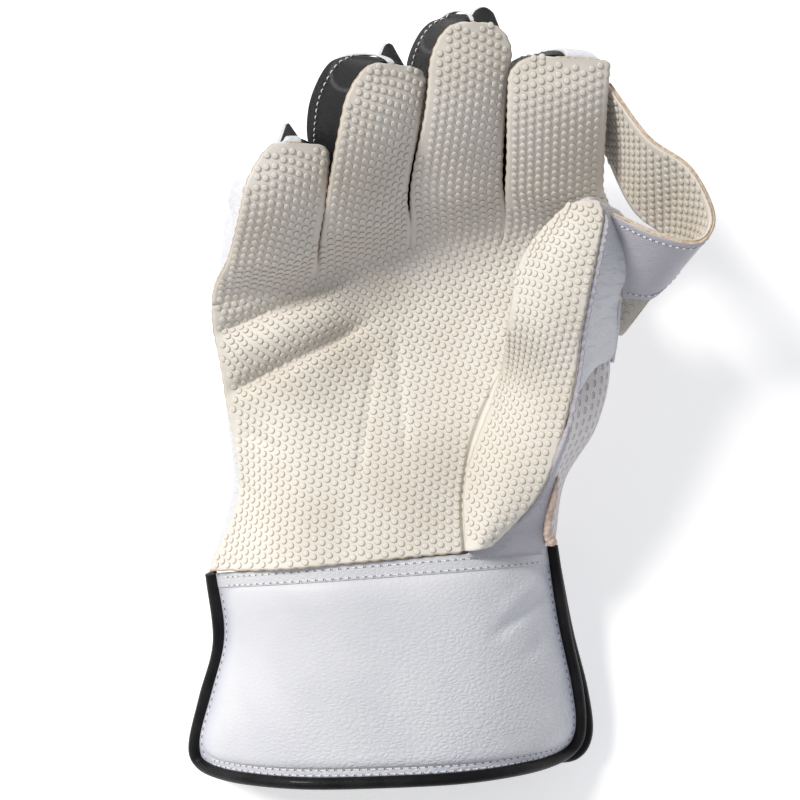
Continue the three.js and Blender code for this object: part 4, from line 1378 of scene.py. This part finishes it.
def make_web():
    inner = lambda u, v: web_layer_point(u, v, -WEB_LAYER)
    facing_bm = bmesh.new()
    add_patch(facing_bm, 24, 90, inner)
    facing = finish_mesh(facing_bm, "web_rubber", [RUBBER, RUBBER_EDGE])
    thicken(facing, WEB_LAYER - 0.05)
    dress(facing, "web_facing")
    flat_size(inner)
    outer_bm = bmesh.new()
    add_patch(outer_bm, 24, 90, web_point)
    outer = finish_mesh(outer_bm, "web_leather", [RUBBER_EDGE, SHADE_PAINTED_LEATHER])
    thicken(outer, WEB_LAYER * 0.8, rim=0, inner=1)
    dress(outer, "web_backing")
    flat_size(web_point)
    spots, _ = lattice(inner, 0.0, 0.0, STUD_ROOM["web"])
    add_studs("web_pimples", spots, inner)
    outside = lambda u, v: web_layer_point(u, v, WEB_LAYER * 0.8)
    v = np.linspace(0.04, 0.97, 160)
    for name, u in WEB_STITCH_ROWS.items():
        points, outward = surface_line(outside, np.full_like(v, u), v)
        add_stitches(f"web_{name}_stitches", points, -outward, **WEB_STITCH)
    v = np.linspace(0.01, 0.99, 120)
    for name, u in (("upper", 0.0), ("lower", 1.0)):
        add_edge_line(f"web_{name}_edge", inner, np.full_like(v, u), v, radius=WEB_EDGE_LINE)


def make_web_corner():
    def surface(u, v):
        right = spline(WEB_LOWER, np.full_like(v, WEB_CORNER["start"])) + np.array([0.0, 0.8, 0.0])
        top = mix(np.array(WEB_CORNER["left"], float), right, v)
        point_left = np.array(WEB_CORNER["point"], float)
        point_right = point_left + np.array([WEB_CORNER["point_width"], 0, 0])
        return mix(top, mix(point_left, point_right, v), u)
    bm = bmesh.new()
    add_patch(bm, 12, 8, surface)
    corner = finish_mesh(bm, "web_corner_rubber", [RUBBER, RUBBER_EDGE])
    thicken(corner, WEB_LAYER, rim=1)
    dress(corner, "web_lower")
    down = np.linspace(0, 1, 20)
    add_edge_line("web_corner_edge", surface, down, np.ones_like(down), steps=40)
    spots, _ = lattice(surface, 0.0, 0.0, STUD_ROOM["web_corner"])
    add_studs("web_corner_pimples", spots, surface)


# Cuff
CUFF_LEFT, CUFF_RIGHT = CUFF_ROWS[:, :3], CUFF_ROWS[:, 5:]
CUFF_MIDDLE = np.stack([(CUFF_ROWS[:, 0] + CUFF_ROWS[:, 5]) / 2, CUFF_ROWS[:, 4], CUFF_ROWS[:, 3]], axis=-1)


def cuff_point(across, along, margin=0.0):
    left, right, middle = (spline(line, along) for line in (CUFF_LEFT, CUFF_RIGHT, CUFF_MIDDLE))
    side = (2 * across - 1) * (1 - margin)
    p = mix(left, right, (side + 1) / 2)
    arch = 1 - np.abs(side) ** CUFF_ARCH
    p[..., 2] += (middle[..., 2] - p[..., 2]) * arch
    p[..., 1] += (middle[..., 1] - ((left + right) / 2)[..., 1]) * arch
    return p


def cuff_surface(across, along):
    """Padded front: flat flanges beside the binding and along the seam, with the swell of the pad between"""
    p = cuff_point(across, along)
    wide, long = CUFF_SPAN
    pad = CUFF_PADDING
    beside = (1 - np.abs(2 * across - 1)) * wide / 2 - pad["side"]
    from_end = np.minimum(along * long - pad["seam"], (1 - along) * long - pad["mouth"])
    short_x = np.clip(1 - beside / pad["corner"], 0, 1)
    short_y = np.clip(1 - from_end / pad["corner"], 0, 1)
    swell = np.sqrt(np.maximum(1 - short_x ** 2 - short_y ** 2, 0))
    p[..., 2] += folds(p, CUFF_FOLDS) * swell - pad["sink"] * (1 - swell)
    return p


def make_cuff_front():
    first, last = CUFF_SHARES
    bm = bmesh.new()
    add_patch(bm, 150, 200, lambda u, v: cuff_surface(v, first + (last - first) * u), flat=CUFF_FLAT)
    front = finish_mesh(bm, "cuff_front_leather", [CUFF_FRONT_LEATHER, LINING])
    thicken(front, CUFF_PAD - 1.0, inner=1)
    return dress(front, "cuff_front")


def band_surface(across, along):
    return cuff_surface(across, along) + UP * BAND["lift"]


def make_cuff_band():
    bm = bmesh.new()
    add_patch(bm, 10, 130, lambda u, v: band_surface(v, BAND["start"] + BAND["wide"] * u))
    band = finish_mesh(bm, "cuff_band_leather", [CUFF_LEATHER])
    thicken(band, BAND["thickness"])
    dress(band, "cuff_top_band")


def binding_route(point_at, half):
    """Points a little outside the sides and the mouth of a panel; the right half mirrors the left"""
    stops = [(0.0, along, -1, 0) for along in half["down"]]
    stops.append((*half["corner"], *half["corner_out"]))
    stops += [(across, 1.0, 0, -1) for across in half["across"]]
    stops += [(1 - across, along, -x, y) for across, along, x, y in reversed(stops[:-1])]
    across, along, x, y = np.array(stops, float).T
    return point_at(across, along) + np.stack([x, y, 0 * x], axis=-1) * BINDING_OUT


def cuff_back_point(across, along):
    side = 2 * across - 1
    p = mix(spline(CUFF_LEFT, along), spline(CUFF_RIGHT, along), across)
    wider = np.where(side < 0, CUFF_BACK["wider"][0], CUFF_BACK["wider"][1] * along)
    p[..., 0] += wider * side * np.abs(side)
    p[..., 1] -= CUFF_BACK["longer"] * along
    floor_share = CUFF_BACK["floor_share"]
    p[..., 2] = (p[..., 2] - CUFF_BACK["below"]) * rise(np.abs(side), (floor_share, 1 - floor_share))
    return p


def make_cuff_back():
    def surface(u, v):
        across = CUFF_MARGIN / 2 + (1 - CUFF_MARGIN) * v
        return cuff_back_point(across, CUFF_TOP + (CUFF_BACK_END - CUFF_TOP) * u)
    bm = bmesh.new()
    add_patch(bm, 96, 40, lambda u, v: surface(v, u))
    back = finish_mesh(bm, "cuff_back_leather", [CUFF_LEATHER, LINING])
    thicken(back, CUFF_BACK["thickness"] - 0.4, inner=1)
    return dress(back, "cuff_back")


def make_bindings():
    front_line = binding_route(cuff_point, FRONT_BINDING) - UP * CUFF_PAD / 2
    front = add_tube("front_binding", front_line, BINDING_RADIUS, 20, 260, [BINDING_LEATHER])
    dress(front, "cuff_front_binding")
    back_line = binding_route(cuff_back_point, BACK_BINDING) + UP * CUFF_BACK["thickness"] / 2
    back_line[:, 2] = np.maximum(back_line[:, 2], BINDING_RADIUS + 0.2)
    back = add_tube("back_binding", back_line, BINDING_RADIUS, 20, 240, [BINDING_LEATHER])
    dress(back, "cuff_back_binding")


def make_cuff_stitches():
    across = np.linspace(0.03, 0.97, 200)
    for surface, rows in ((band_surface, BAND_STITCH_ROWS), (cuff_surface, MOUTH_STITCH_ROWS)):
        for name, along in rows.items():
            points, outward = surface_line(surface, across, np.full_like(across, along))
            add_stitches(name + "_stitches", points, outward, **CUFF_STITCH)
    along = np.linspace(0.09, 0.93, 160)
    for name, side in FLANGE_STITCH_ROWS.items():
        points, outward = surface_line(cuff_surface, np.full_like(along, side), along)
        add_stitches(f"flange_{name}_stitches", points, outward, **FLANGE_STITCH)


# Stage
def make_stage():
    bm = bmesh.new()
    bmesh.ops.create_grid(bm, x_segments=1, y_segments=1, size=3.0)
    mesh = bpy.data.meshes.new("floor")
    bm.to_mesh(mesh)
    bm.free()
    material, _, shader = new_material("pale_floor", (0.9, 0.9, 0.9), 0.9)
    shader.inputs["Emission Color"].default_value = (1, 1, 1, 1)
    shader.inputs["Emission Strength"].default_value = 0.4
    floor = add_object("floor", mesh, [material])
    floor.location.z = -0.0004


KEY_LIGHT = dict(energy=2.9, colour=(1.0, 0.965, 0.91), angle=0.3, place=(-0.8, 0.62, 1.0))
SKY = dict(colour=(0.93, 0.95, 1.0, 1), strength=0.5)


def make_lights():
    """Soft sun from the upper left and an even pale sky"""
    world = bpy.data.worlds.new("studio")
    world.use_nodes = True
    background = world.node_tree.nodes["Background"]
    background.inputs["Color"].default_value = SKY["colour"]
    background.inputs["Strength"].default_value = SKY["strength"]
    bpy.context.scene.world = world
    data = bpy.data.lights.new("key", "SUN")
    data.energy = KEY_LIGHT["energy"]
    data.color = KEY_LIGHT["colour"]
    data.angle = KEY_LIGHT["angle"]
    light = bpy.data.objects.new("key", data)
    bpy.context.scene.collection.objects.link(light)
    light.location = KEY_LIGHT["place"]
    light.rotation_euler = (-light.location).to_track_quat("-Z", "Y").to_euler()


def set_tones():
    bpy.context.scene.view_settings.view_transform = "Standard"


def make_camera():
    data = bpy.data.cameras.new("camera")
    data.lens = LENS
    data.sensor_width = 36
    data.clip_start = 0.05
    camera = bpy.data.objects.new("camera", data)
    bpy.context.scene.collection.objects.link(camera)
    camera.location = (-PLAN_MIDDLE[0] * MM, -PLAN_MIDDLE[1] * MM, CAMERA_HEIGHT * MM)
    bpy.context.scene.camera = camera


make_camera()
set_tones()
make_stage()
make_lights()
make_palm()
make_palm_studs()
make_thumb_face()
make_thumb_crease()
make_thumb_lip()
make_back("little", left_wall=True)
make_back("ring")
make_back("middle")
make_back("index", right_wall=True)
make_back("thumb", left_wall=True, right_wall=True, start=thumb_leather_start)
make_ears()
for left_finger, right_finger in zip(FINGER_NAMES, FINGER_NAMES[1:]):
    make_fourchette(left_finger, right_finger)
make_wall_stitches()
make_hand_back()
make_gusset()
make_wrist_roll()
make_thumb_join()
make_web()
make_web_corner()
make_cuff_front()
make_cuff_band()
make_cuff_back()
make_bindings()
make_cuff_stitches()
